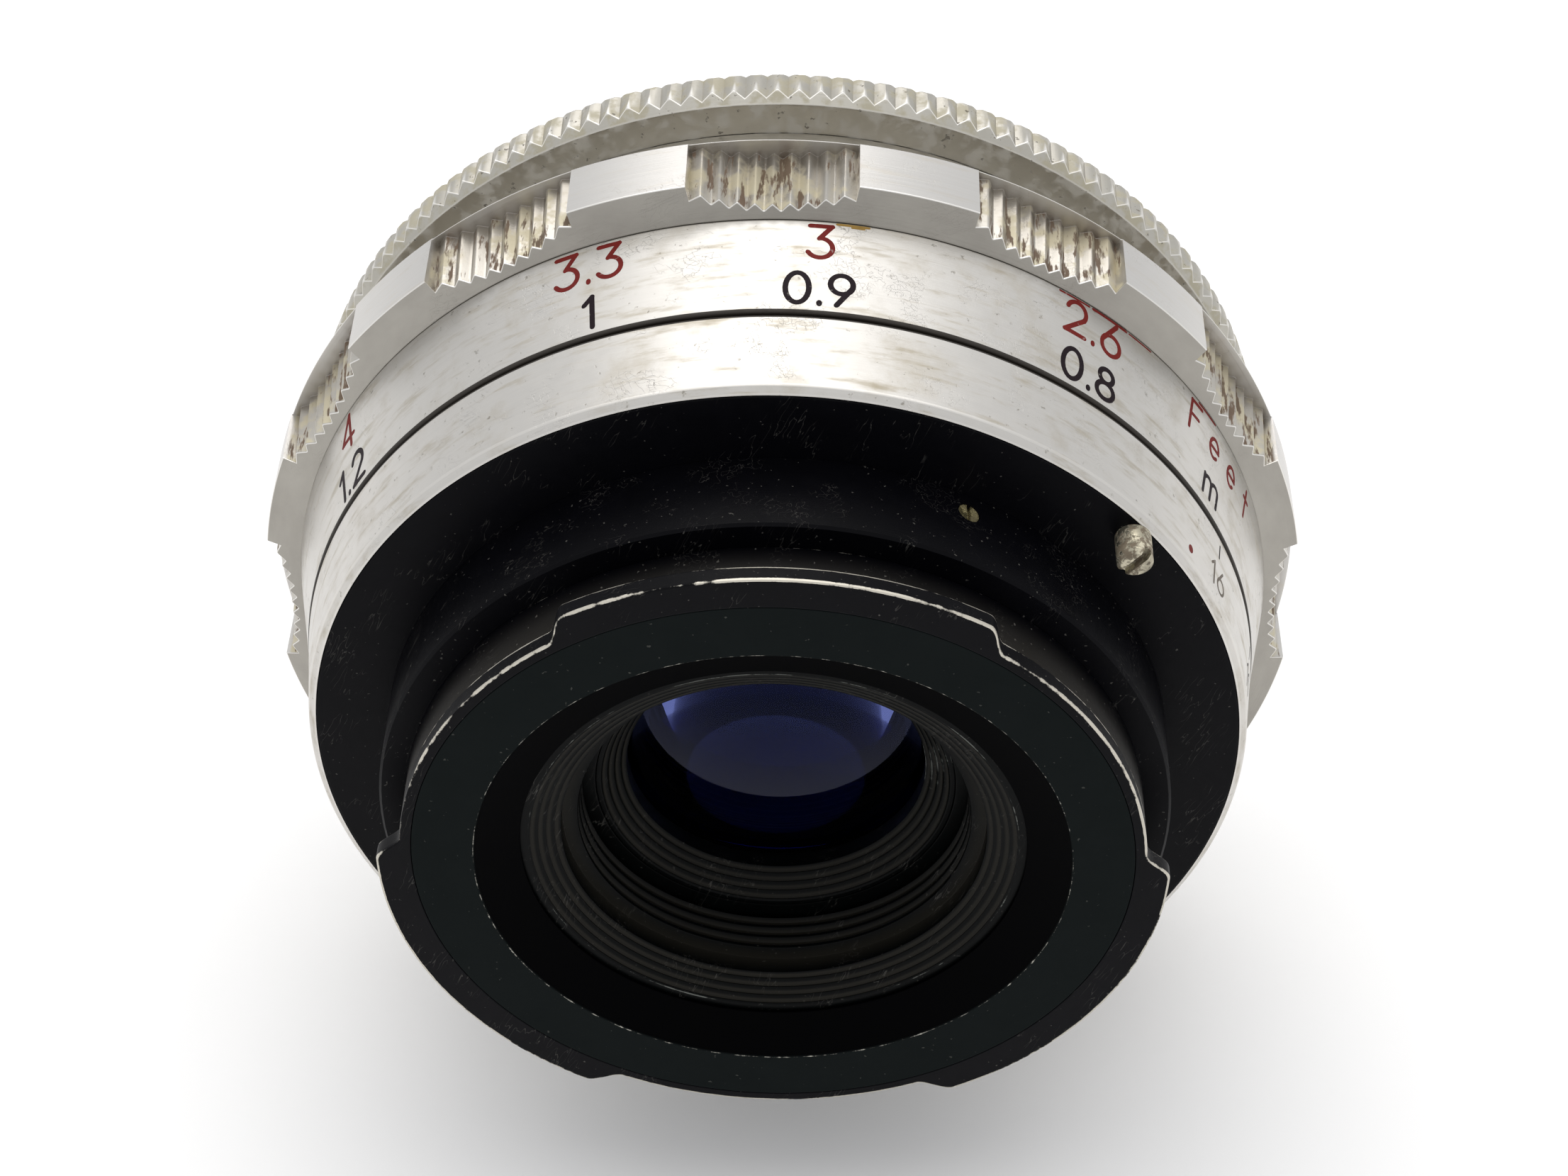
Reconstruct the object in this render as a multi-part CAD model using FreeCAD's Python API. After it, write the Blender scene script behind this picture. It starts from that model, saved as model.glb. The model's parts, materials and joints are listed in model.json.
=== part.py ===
import FreeCAD, Part
import math
import os

# Prime camera lens with a three-lug rear mount, in millimetres.
# The optical axis lies along Y: the rear mount faces -Y and the front looks +Y.
# y = 0 is the register face that meets the camera.  +Z is up as the lens lies on its grip.
# Angles about the axis are degrees from +Z towards +X.

V = FreeCAD.Vector
ORIGIN = V(0, 0, 0)
AXIS = V(0, 1, 0)

# --- driving dimensions -------------------------------------------------------------------
FIT = 0.05             # radial clearance of a running or threaded fit
SEAT = 0.03            # gap between two pieces that are screwed up against each other

# rear mount
REAR_Y = -9.26         # rear face
STEP_Y = -5.34         # rear shoulder of the step barrel
STEP_R = 22.37
NECK_R = 20.8
LUG_R = 22.14
LUG_THICK = 0.98
LUG_SPAN = 60.0        # at full radius
LUG_BLEND = 5.0        # each S-shaped end
LUG_CENTRE = 1.6
COVER_R = 20.13
COVER_BORE_R = 16.7
BAFFLE_REAR_R = 13.77
BAFFLE_REAR_Y = -7.69
BAFFLE_STEP_R = 12.0   # inner edge of the ringed mouth
BAFFLE_STEP_Y = -6.65
BAFFLE_THROAT_R = 11.15
BAFFLE_THROAT_Y = -5.5
BAFFLE_FRONT_R = 10.98
BAFFLE_FRONT_Y = -3.33
FLANGE_R = 26.55
FLANGE_THICK = 1.9
PIN_R = 1.0
PIN_CIRCLE_R = 25.7
PIN_HEIGHT = 2.1
PIN_ANGLE = 49.6
PIN_SLOT = 0.5
SIDE_SCREW_ANGLE = 28.4
SIDE_SCREW_Y = -1.35

# fixed scale ring and distance scale ring, both slightly conical
FIXED_REAR_R = 27.0
FIXED_FRONT_R = 27.69
FIXED_FRONT_Y = 5.36
SCALE_REAR_R = 27.75
SCALE_REAR_Y = 5.6
SCALE_FRONT_R = 29.03
SCALE_FRONT_Y = 12.0

# focusing grip
GRIP_REAR_Y = 12.05
GRIP_FRONT_Y = 16.65
GRIP_R = 31.15
SCALLOPS = 12
SCALLOP_HALF = 8.75    # half angle of one scallop
RIDGES = 9             # ridges in one scallop
RIDGE_PITCH = 1.83
RIDGE_HEIGHT = 0.41
RIDGE_DEPTH_REAR = (1.31, 0.62)   # depth of the ridges behind the lobes, mid scallop and at its ends
RIDGE_DEPTH_FRONT = (0.95, 0.35)
GRIP_RIM = 0.15        # thickness of the full rim in front of the scallops
LOBE_REAR_Y = 12.6     # the rear face is a cone that reaches the lobes here

# focusing motion
FOCUS_TURN = 278.0
FOCUS_TRAVEL = 3.6
STOP_CIRCLE_R = 23.3
STOP_PIN_R = 0.6
STOP_PIN_ANGLE = -60.0

# barrels that carry the motion
BORE_R = 20.5          # bore of the fixed barrel
FIXED_BARREL_R = 21.9
HELICOID_R = 23.35
LENS_BARREL_BORE_R = 18.6
KEY_WIDTH = 3.0
KEY_REAR_Y = 11.0
KEY_FRONT_Y = 14.0

# front of the lens
NECK_FRONT_R = 27.2
KNURL_REAR_Y = 22.7
KNURL_FRONT_Y = 25.31
KNURL_REAR_R = 29.77
KNURL_FRONT_R = 29.56
KNURL_TEETH = 150
KNURL_DEPTH = 0.36
KNURL_FOOT_R = 29.15    # where the bevel starts, inside the roots of the teeth
KNURL_BEVEL = 0.70     # length of the bevel behind the teeth
RIM_R = 25.5
RIM_FRONT_Y = 26.8
FILTER_R = 24.1        # minor radius of the 49 mm filter thread
TRIM_R = 23.3          # seat of the trim ring behind the thread
TRIM_FRONT_Y = 22.3

# iris
BLADES = 8
IRIS_OPEN_R = 8.0
BLADE_WIDTH = 6.3
BLADE_SWEEP = 118.0
BLADE_THICK = 0.08
LAYER = 0.15           # axial pitch of the blades
IRIS_BASE_Y = 4.8
IRIS_FLOOR_Y = 5.6     # front face of the base plate
POST_CIRCLE_R = 15.6
POST_R = 0.40
DRIVE_PIN_R = 0.35
DRIVE_PIN_LEAD = 8.2   # the drive pin trails its post by this angle
CAM_REAR_Y = 7.0
CAM_FRONT_Y = 7.7
CAM_R = 17.45
COVER_FRONT_Y = 8.7
APERTURE_TURN = 37.5
BLADE_TURN = 24.0
CLICK_STOPS = 6
CLICK_CIRCLE_R = 20.5

# optics
FRONT_GLASS_R = 10.0
MIDDLE_GLASS_R = 9.0
REAR_GLASS_R = 9.2
REAR_CLEAR_R = 8.6


# --- helpers ------------------------------------------------------------------------------
def turned(points):
    """Solid of revolution about the optical axis from (radius, y) corners."""
    corners = [V(r, y, 0) for r, y in points]
    face = Part.Face(Part.makePolygon(corners + [corners[0]]))
    return face.revolve(ORIGIN, AXIS, 360)


def tube(inner_r, outer_r, y0, y1):
    return turned([(inner_r, y0), (outer_r, y0), (outer_r, y1), (inner_r, y1)])


def around(shape, angle):
    """Copy of a shape turned about the optical axis, from +Z towards +X."""
    copy = shape.copy()
    copy.rotate(ORIGIN, AXIS, angle)
    return copy


def polar(radius, angle, y=0.0):
    a = math.radians(angle)
    return V(radius * math.sin(a), y, radius * math.cos(a))


def axial_rod(radius, circle_r, angle, y0, y1):
    return Part.makeCylinder(radius, y1 - y0, polar(circle_r, angle, y0), AXIS)


def radial_rod(radius, r0, r1, angle, y):
    return Part.makeCylinder(radius, r1 - r0, polar(r0, angle, y), polar(1, angle))


def prism(points, y0, y1):
    """Extrude a closed outline of (x, z) corners along the axis."""
    corners = [V(x, y0, z) for x, z in points]
    face = Part.Face(Part.makePolygon(corners + [corners[0]]))
    return face.extrude(V(0, y1 - y0, 0))


def arc_block(inner_r, outer_r, start, end, y0, y1):
    """Block between two radii and two angles."""
    middle = (start + end) / 2
    edges = [
        Part.Arc(polar(outer_r, start, y0), polar(outer_r, middle, y0), polar(outer_r, end, y0)).toShape(),
        Part.LineSegment(polar(outer_r, end, y0), polar(inner_r, end, y0)).toShape(),
        Part.Arc(polar(inner_r, end, y0), polar(inner_r, middle, y0), polar(inner_r, start, y0)).toShape(),
        Part.LineSegment(polar(inner_r, start, y0), polar(outer_r, start, y0)).toShape(),
    ]
    return Part.Face(Part.Wire(edges)).extrude(V(0, y1 - y0, 0))


def grooved_cone(r0, y0, r1, y1, count, depth):
    """(radius, y) points down a cone with square anti-glare grooves, from end 0 to end 1."""
    points = []
    steps = 4 * count
    for i in range(steps):
        t = i / steps
        cut = depth if i % 4 in (2, 3) else 0.0
        points.append((r0 + (r1 - r0) * t + cut, y0 + (y1 - y0) * t))
    points.append((r1, y1))
    return points


def slot_screw(head_r, head_h, shank_r, length, circle_r, angle, y_head):
    """Axial slotted screw: head towards +Y with its underside at y_head."""
    head = axial_rod(head_r, circle_r, angle, y_head, y_head + head_h)
    shank = axial_rod(shank_r, circle_r, angle, y_head - length, y_head)
    slot = Part.makeBox(2 * head_r + 1, head_h / 2, 0.28, V(-head_r - 0.5, y_head + head_h / 2, -0.14))
    slot.translate(V(0, 0, circle_r))
    return head.fuse(shank).removeSplitter().cut(around(slot, angle))


def lens_surface(points_rear, points_front, radius):
    """Glass element: (curvature, edge_y) of each face; positive curvature bulges to the front."""
    curve_rear, y_rear = points_rear
    curve_front, y_front = points_front
    sag_rear = sag(curve_rear, radius)
    sag_front = sag(curve_front, radius)
    bottom = arc_or_line(V(0, y_rear + sag_rear, 0), V(radius, y_rear, 0), curve_rear, radius)
    top = arc_or_line(V(radius, y_front, 0), V(0, y_front + sag_front, 0), curve_front, radius)
    edge = Part.LineSegment(V(radius, y_rear, 0), V(radius, y_front, 0)).toShape()
    core = Part.LineSegment(V(0, y_front + sag_front, 0), V(0, y_rear + sag_rear, 0)).toShape()
    wire = Part.Wire([bottom, edge, top, core])
    return Part.Face(wire).revolve(ORIGIN, AXIS, 360)


def sag(curve, radius):
    """Rise of a spherical face at the axis above its edge; 0 for a flat face."""
    if curve == 0:
        return 0.0
    size = abs(curve)
    return math.copysign(size - math.sqrt(size * size - radius * radius), curve)


def arc_or_line(start, end, curve, radius):
    if curve == 0:
        return Part.LineSegment(start, end).toShape()
    half = radius / 2
    vertex = start if start.x == 0 else end
    size = abs(curve)
    drop = math.copysign(size - math.sqrt(size * size - half * half), curve)
    return Part.Arc(start, V(half, vertex.y - drop, 0), end).toShape()


# --- rear mount (does not move) -----------------------------------------------------------
def lug_outline(y0, y1, centre):
    """One bayonet lug with S-shaped ends, as a block reaching into the neck."""
    root_r = NECK_R - 0.4
    steps = 6
    half = LUG_SPAN / 2
    blend = []
    for i in range(steps + 1):
        t = i / steps
        ease = t * t * (3 - 2 * t)
        blend.append((half + LUG_BLEND * (1 - t), NECK_R + 0.02 + (LUG_R - NECK_R - 0.02) * ease))
    left = [polar(r, -a, y0) for a, r in blend]
    right = [polar(r, a, y0) for a, r in reversed(blend)]
    rise = Part.BSplineCurve()
    rise.interpolate(left)
    fall = Part.BSplineCurve()
    fall.interpolate(right)
    end = half + LUG_BLEND
    edges = [
        rise.toShape(),
        Part.Arc(left[-1], polar(LUG_R, 0, y0), right[0]).toShape(),
        fall.toShape(),
        Part.LineSegment(right[-1], polar(root_r, end, y0)).toShape(),
        Part.Arc(polar(root_r, end, y0), polar(root_r, 0, y0), polar(root_r, -end, y0)).toShape(),
        Part.LineSegment(polar(root_r, -end, y0), left[0]).toShape(),
    ]
    block = Part.Face(Part.Wire(edges)).extrude(V(0, y1 - y0, 0))
    return around(block, centre)


def bayonet_ring():
    ring = turned([
        (COVER_R + SEAT, REAR_Y), (NECK_R, REAR_Y), (NECK_R, STEP_Y), (19.8, STEP_Y), (19.8, -2.5),
        (18.2, -2.5), (18.2, -7.7), (COVER_R + SEAT, -7.7),
    ])
    lugs = [lug_outline(REAR_Y, REAR_Y + LUG_THICK, LUG_CENTRE + 120 * i) for i in range(3)]
    ring = ring.fuse(lugs).removeSplitter()
    bevel = 0.14
    keep = turned([
        (0, REAR_Y), (LUG_R - bevel, REAR_Y), (LUG_R + 0.01, REAR_Y + bevel),
        (LUG_R + 0.01, -2.0), (0, -2.0),
    ])
    return ring.common(keep)


def rear_cover_ring():
    """Flat black ring in the rear face, with a deep chamfer towards the light path."""
    return turned([
        (COVER_BORE_R, REAR_Y), (COVER_R, REAR_Y), (COVER_R, -7.7 - SEAT), (14.2, -7.7 - SEAT),
        (14.2, -7.9), (COVER_BORE_R - 0.12, REAR_Y + 0.12),
    ])


def rear_baffle():
    """Light trap held between the cover and the bayonet ring: ringed mouth, step, grooved throat."""
    mouth = grooved_cone(BAFFLE_REAR_R, BAFFLE_REAR_Y, BAFFLE_STEP_R, BAFFLE_STEP_Y, 4, 0.13)
    throat = grooved_cone(BAFFLE_THROAT_R, BAFFLE_THROAT_Y, BAFFLE_FRONT_R, BAFFLE_FRONT_Y, 3, 0.22)
    inner = mouth + [(BAFFLE_STEP_R, BAFFLE_THROAT_Y - 0.1)] + throat
    outer = [(12.6, BAFFLE_FRONT_Y), (15.0, -6.9), (18.15, -6.9), (18.15, BAFFLE_REAR_Y)]
    return turned(inner + outer)


def mount_barrel():
    barrel = turned([
        (19.8 + SEAT, STEP_Y + SEAT), (STEP_R - 0.15, STEP_Y + SEAT), (STEP_R, STEP_Y + 0.18),
        (STEP_R, -SEAT), (21.5, -SEAT), (21.5, 1.85), (20.7, 1.85), (20.7, -2.4), (19.8 + SEAT, -2.4),
    ])
    return barrel.cut(radial_rod(0.66, 21.0, 23.0, SIDE_SCREW_ANGLE, SIDE_SCREW_Y))


def side_screw():
    """Small headless brass screw in the side of the step barrel, flush with it."""
    screw = radial_rod(0.62, 21.05, STEP_R - 0.08, SIDE_SCREW_ANGLE, SIDE_SCREW_Y)
    slot = Part.makeBox(0.22, 2.0, 0.3, V(-0.11, SIDE_SCREW_Y - 1.0, STEP_R - 0.34))
    return screw.cut(around(slot, SIDE_SCREW_ANGLE))


def flange_plate():
    plate = turned([
        (21.5 + SEAT, 0), (FLANGE_R, 0), (FLANGE_R, FLANGE_THICK), (21.5 + SEAT, FLANGE_THICK),
    ])
    holes = [axial_rod(PIN_R * 0.62 + 0.02, PIN_CIRCLE_R, PIN_ANGLE, -0.5, FLANGE_THICK + 0.5)]
    holes += [axial_rod(0.52, 23.1, a, 0.55, FLANGE_THICK + 0.5) for a in flange_screw_angles()]
    return plate.cut(holes)


def flange_screw_angles():
    return [60 + 90 * i for i in range(4)]


def locating_pin():
    """Slotted pin that indexes the lens on the camera."""
    head = axial_rod(PIN_R, PIN_CIRCLE_R, PIN_ANGLE, -PIN_HEIGHT, 0)
    head = head.makeChamfer(0.22, [e for e in head.Edges if e.BoundBox.YMax < -PIN_HEIGHT + 0.01])
    shank = axial_rod(PIN_R * 0.62, PIN_CIRCLE_R, PIN_ANGLE, -0.2, FLANGE_THICK)
    slot = Part.makeBox(3.0, 0.55, PIN_SLOT, V(-1.5, -PIN_HEIGHT - 0.05, -PIN_SLOT / 2))
    slot.rotate(ORIGIN, AXIS, -48)
    slot.translate(polar(PIN_CIRCLE_R, PIN_ANGLE))
    return head.fuse(shank).removeSplitter().cut(slot)


def depth_scale_ring():
    """Fixed conical ring that carries the index and the depth-of-field marks."""
    bevel = 0.4
    slope = (FIXED_FRONT_R - FIXED_REAR_R) / FIXED_FRONT_Y
    return turned([
        (FLANGE_R + SEAT, 0.02), (FLANGE_R + 0.08, 0.02), (FIXED_REAR_R + slope * bevel, bevel),
        (FIXED_FRONT_R, FIXED_FRONT_Y), (26.3, FIXED_FRONT_Y), (26.3, 3.5), (24.45, 3.5),
        (24.45, FLANGE_THICK + SEAT), (FLANGE_R + SEAT, FLANGE_THICK + SEAT),
    ])


def fixed_barrel():
    """Fixed tube in which the lens barrel slides and on which the focusing ring turns."""
    rear = FLANGE_THICK + SEAT
    body = turned([
        (BORE_R, rear), (24.4, rear), (24.4, 3.4), (FIXED_BARREL_R, 3.4),
        (FIXED_BARREL_R, 15.7), (BORE_R, 15.7),
    ])
    cuts = [axial_rod(0.52, 23.1, a, rear - 0.5, 3.9) for a in flange_screw_angles()]
    cuts += [axial_rod(0.98, 23.1, a, 2.75, 3.9) for a in flange_screw_angles()]
    cuts += [axial_rod(0.42, STOP_CIRCLE_R, a, 2.3, 3.9) for a in stop_screw_angles()]
    for side in (90, 270):
        cuts.append(around(key_block(19.0, 23.0, SEAT), side))
    return body.cut(cuts)


def key_block(r0, r1, grow):
    half = KEY_WIDTH / 2 + grow
    length = KEY_FRONT_Y - KEY_REAR_Y + 2 * grow
    return Part.makeBox(2 * half, length, r1 - r0, V(-half, KEY_REAR_Y - grow, r0))


def guide_keys():
    """Two keys that let the lens barrel slide but not turn."""
    limit = tube(19.0, FIXED_BARREL_R - 0.02, KEY_REAR_Y - 1, KEY_FRONT_Y + 1)
    keys = [around(key_block(18.5, 23.0, 0), side).common(limit) for side in (90, 270)]
    return Part.makeCompound(keys)


def flange_screws():
    screws = [slot_screw(0.9, 0.6, 0.49, 2.0, 23.1, a, 2.78) for a in flange_screw_angles()]
    return Part.makeCompound(screws)


def focus_retainer():
    """Threaded ring that keeps the focusing ring on the fixed barrel."""
    ring = tube(FIXED_BARREL_R + SEAT, 23.6, 7.55, 8.9)
    notches = [Part.makeBox(1.6, 1.0, 3.0, V(-0.8, 8.35, 21.4))]
    notches.append(around(notches[0], 180))
    return ring.cut(notches)


def stop_angles():
    """Start and end angle of the focus stop block, just past the stop pin at infinity."""
    half_pin = math.degrees(STOP_PIN_R / STOP_CIRCLE_R)
    play = 0.3
    start = STOP_PIN_ANGLE + half_pin + play
    end = STOP_PIN_ANGLE - FOCUS_TURN + 360 - half_pin - play
    return start, end


def stop_screw_angles():
    start, end = stop_angles()
    return [start + 8, end - 8]


def focus_stop_block():
    start, end = stop_angles()
    block = arc_block(22.2, 24.35, start, end, 3.4 + SEAT, 5.1)
    cuts = [axial_rod(0.42, STOP_CIRCLE_R, a, 3.0, 5.5) for a in stop_screw_angles()]
    cuts += [axial_rod(0.78, STOP_CIRCLE_R, a, 4.45, 5.5) for a in stop_screw_angles()]
    return block.cut(cuts)


def stop_block_screws():
    screws = [slot_screw(0.72, 0.55, 0.39, 1.9, STOP_CIRCLE_R, a, 4.48) for a in stop_screw_angles()]
    return Part.makeCompound(screws)


# --- focusing ring (turns) ----------------------------------------------------------------
def distance_scale_ring():
    ring = turned([
        (SCALE_REAR_R, SCALE_REAR_Y + 0.08), (SCALE_FRONT_R, SCALE_FRONT_Y), (27.6, SCALE_FRONT_Y),
        (27.6, 16.2), (26.0, 16.2), (26.0, 7.3), (FIXED_BARREL_R + FIT, 7.3),
        (FIXED_BARREL_R + FIT, SCALE_REAR_Y), (SCALE_REAR_R - 0.08, SCALE_REAR_Y),
    ])
    return ring.cut(axial_rod(STOP_PIN_R * 0.7, STOP_CIRCLE_R, STOP_PIN_ANGLE, 5.0, 7.0))


def scallop_outline(depth_mid, depth_end):
    """(angle, radius) corners of one ridged scallop, from its start to its end."""
    corners = [(-SCALLOP_HALF, GRIP_R)]
    half_count = (RIDGES - 1) / 2
    reach = half_count * RIDGE_PITCH
    for i in range(2 * RIDGES + 1):
        angle = (i / 2 - half_count - 0.5) * RIDGE_PITCH
        depth = depth_mid - (depth_mid - depth_end) * (angle / reach) ** 2
        if i % 2 == 0:
            depth += RIDGE_HEIGHT
        corners.append((angle, GRIP_R - depth))
    corners[1] = (-SCALLOP_HALF + 0.12, corners[1][1])
    corners[-1] = (SCALLOP_HALF - 0.12, corners[-1][1])
    corners.append((SCALLOP_HALF, GRIP_R))
    return corners


def grip_wire(depths, y):
    """Closed outline of the grip at one y."""
    pitch = 360 / SCALLOPS
    edges = []
    for i in range(SCALLOPS):
        centre = i * pitch
        corners = [polar(r, centre + a, y) for a, r in scallop_outline(*depths)]
        edges += [Part.LineSegment(p, q).toShape() for p, q in zip(corners, corners[1:])]
        lobe_mid = polar(GRIP_R, centre + pitch / 2, y)
        lobe_end = polar(GRIP_R, centre + pitch - SCALLOP_HALF, y)
        edges.append(Part.Arc(corners[-1], lobe_mid, lobe_end).toShape())
    return Part.Wire(edges)


def focus_grip():
    """Ring with plain lobes between ridged scallops that grow shallower towards a thin front rim."""
    wall_y = GRIP_FRONT_Y - GRIP_RIM
    rear = grip_wire(RIDGE_DEPTH_REAR, GRIP_REAR_Y)
    front = grip_wire(RIDGE_DEPTH_FRONT, wall_y)
    star = Part.makeLoft([rear, front], True, True)
    rim = tube(27.0, GRIP_R - 0.06, wall_y, GRIP_FRONT_Y)
    ring = star.fuse(rim)
    bore = turned([
        (0, GRIP_REAR_Y - 1), (27.6 + SEAT, GRIP_REAR_Y - 1), (27.6 + SEAT, 15.2), (28.55, 15.2),
        (28.55, GRIP_FRONT_Y + 1), (0, GRIP_FRONT_Y + 1),
    ])
    bevel = 0.12
    keep = turned([
        (0, GRIP_REAR_Y), (SCALE_FRONT_R + 0.02, GRIP_REAR_Y), (GRIP_R + 0.01, LOBE_REAR_Y),
        (GRIP_R + 0.01, GRIP_FRONT_Y - bevel), (GRIP_R - bevel, GRIP_FRONT_Y), (0, GRIP_FRONT_Y),
    ])
    return ring.cut(bore).common(keep)


def grip_lock_ring():
    """Ring nut in front of the grip, with two spanner notches."""
    ring = tube(27.6 + SEAT, 28.5, 15.25, 16.25)
    notch = Part.makeBox(1.4, 0.6, 3.0, V(-0.7, 15.75, 26.5))
    return ring.cut([around(notch, 15), around(notch, 195)])


def focus_helicoid():
    """Brass nut of the focusing thread."""
    return turned([
        (HELICOID_R + FIT, 9.6), (25.6, 9.6), (25.95, 9.95), (25.95, 16.0), (HELICOID_R + FIT, 16.0),
    ])


def focus_stop_pin():
    head = axial_rod(STOP_PIN_R, STOP_CIRCLE_R, STOP_PIN_ANGLE, 3.75, SCALE_REAR_Y - SEAT)
    shank = axial_rod(STOP_PIN_R * 0.7 - 0.02, STOP_CIRCLE_R, STOP_PIN_ANGLE, 5.0, 6.95)
    return head.fuse(shank).removeSplitter()


# --- lens unit (slides) -------------------------------------------------------------------
def lens_barrel():
    """Tube that slides in the fixed barrel, with a shoulder for the iris and two key slots."""
    outer = BORE_R - FIT
    barrel = turned([
        (17.2, 3.6), (17.2, IRIS_BASE_Y - SEAT), (LENS_BARREL_BORE_R, IRIS_BASE_Y - SEAT),
        (LENS_BARREL_BORE_R, 17.0), (outer, 17.0), (outer, -1.8), (19.2, -1.8), (19.2, 3.0),
    ])
    slot_rear = KEY_REAR_Y - FOCUS_TRAVEL - 0.4
    slot = Part.makeBox(KEY_WIDTH + 0.12, KEY_FRONT_Y + 0.4 - slot_rear, 4.0,
                        V(-KEY_WIDTH / 2 - 0.06, slot_rear, 17.9))
    cuts = [around(slot, 90), around(slot, 270)]
    cuts += [radial_rod(0.62, 17.0, 22.0, a, 6.7) for a in iris_screw_angles()]
    return barrel.cut(cuts)


def iris_screw_angles():
    return [30, 150, 250]


def lens_helicoid():
    """Screw of the focusing thread, locked on the lens barrel."""
    return turned([
        (22.1, 9.25), (HELICOID_R, 9.25), (HELICOID_R, 17.0), (BORE_R - FIT + SEAT, 17.0),
        (BORE_R - FIT + SEAT, 16.1), (22.1, 16.1),
    ])


def front_rim():
    """Front housing with the filter thread; its flange keeps the aperture ring in place."""
    rim = turned([
        (14.0 + SEAT, 18.6), (RIM_R, 18.6), (RIM_R, 25.55), (27.35, 25.55), (27.35, 26.45),
        (27.0, RIM_FRONT_Y), (24.75, RIM_FRONT_Y), (FILTER_R, 26.2),
        (FILTER_R, TRIM_FRONT_Y + 0.1), (TRIM_R, TRIM_FRONT_Y + 0.1),
        (TRIM_R, 19.8), (14.0 + SEAT, 19.8),
    ])
    ball_hole = axial_rod(0.76, CLICK_CIRCLE_R, click_angle(), 18.0, 20.5)
    screw_hole = axial_rod(0.37, CLICK_CIRCLE_R, click_screw_angle(), 18.9, 20.5)
    return rim.cut([ball_hole, screw_hole])


def click_angle():
    return -60.0


def click_screw_angle():
    return click_angle() - 18.0


def click_ball():
    return Part.makeSphere(0.7, polar(CLICK_CIRCLE_R, click_angle(), 19.05))


def click_spring():
    """Leaf spring that presses the click ball into the detents of the aperture ring."""
    start = click_screw_angle() - 3
    end = click_angle() + 3
    leaf = arc_block(CLICK_CIRCLE_R - 1.0, CLICK_CIRCLE_R + 1.0, start, end, 19.82, 19.97)
    return leaf.cut(axial_rod(0.4, CLICK_CIRCLE_R, click_screw_angle(), 19.5, 20.5))


def click_spring_screw():
    return slot_screw(0.75, 0.45, 0.34, 1.0, CLICK_CIRCLE_R, click_screw_angle(), 20.0)


def front_trim_ring():
    """Plain black dished ring around the front glass, with a few fine steps."""
    return turned([
        (TRIM_R - FIT, 21.3), (TRIM_R - FIT, TRIM_FRONT_Y), (22.9, TRIM_FRONT_Y),
        (22.4, 22.05), (14.6, 20.95),
        (14.3, 20.6), (13.3, 20.45), (13.3, 20.1), (14.5, 20.1), (14.5, 20.55), (22.3, 21.3),
    ])


def front_cell():
    """Tube that holds the two front glasses; its mouth is a grooved hood."""
    hood = grooved_cone(12.9, 20.0, 10.75, 15.75, 6, 0.22)
    seats = [(10.75, 15.6), (10.75, 14.55), (10.05, 14.55), (10.05, 11.05)]
    seats += [(9.05, 11.05), (9.05, 7.95), (8.3, 7.95)]
    outside = [(8.3, 7.75), (9.6, 7.75), (9.6, 8.75), (14.0, 8.75)]
    outside += [(14.0, 17.4), (16.3, 17.4), (16.3, 18.55)]
    neck = [(14.0, 18.55), (14.0, 20.0)]
    return turned(hood + seats + outside + neck)


def front_retaining_ring():
    ring = turned([(9.35, 14.0), (9.75, 14.58), (10.7, 14.58), (10.7, 15.5), (9.6, 15.5), (9.35, 15.2)])
    notch = Part.makeBox(1.0, 0.5, 3.0, V(-0.5, 15.1, 8.5))
    return ring.cut([around(notch, 40), around(notch, 220)])


def glass_front():
    return lens_surface((0, 11.65), (20.0, 13.2), FRONT_GLASS_R)


def cell_spacer():
    return tube(9.2, FRONT_GLASS_R, 11.08, 11.6)


def glass_middle():
    return lens_surface((22.0, 8.0), (-45.0, 11.02), MIDDLE_GLASS_R)


def iris_base():
    """Plate with the posts on which the blades pivot, and a collar for the rear cell."""
    plate = turned([
        (IRIS_OPEN_R + 0.3, IRIS_BASE_Y), (11.0, IRIS_BASE_Y), (11.0, 2.8), (12.4, 2.8),
        (12.4, IRIS_BASE_Y),
        (LENS_BARREL_BORE_R - FIT, IRIS_BASE_Y), (LENS_BARREL_BORE_R - FIT, IRIS_FLOOR_Y),
        (IRIS_OPEN_R + 0.3, IRIS_FLOOR_Y),
    ])
    top = CAM_REAR_Y - 0.08
    foot = IRIS_FLOOR_Y - 0.3
    posts = [axial_rod(POST_R, POST_CIRCLE_R, blade_angle(i), foot, top) for i in range(BLADES)]
    return plate.fuse(posts).removeSplitter()


def blade_angle(index):
    return index * 360 / BLADES


def iris_cover():
    """Cover over the cam ring, with the slot that the drive arm runs in."""
    cover = turned([
        (9.65, 7.85), (17.5, 7.85), (17.5, IRIS_FLOOR_Y + SEAT),
        (LENS_BARREL_BORE_R - FIT, IRIS_FLOOR_Y + SEAT),
        (LENS_BARREL_BORE_R - FIT, COVER_FRONT_Y), (15.3, COVER_FRONT_Y), (15.3, 10.4), (14.0 + SEAT, 10.4),
        (14.0 + SEAT, COVER_FRONT_Y), (9.65, COVER_FRONT_Y),
    ])
    half_arm = ARM_HALF_ANGLE + 0.4
    window = arc_block(15.75, 17.45, ARM_ANGLE - half_arm, ARM_ANGLE + APERTURE_TURN + half_arm, 7.5, 9.0)
    holes = [radial_rod(0.52, 17.0, 19.0, a, 6.7) for a in iris_screw_angles()]
    return cover.cut([window] + holes)


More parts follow.
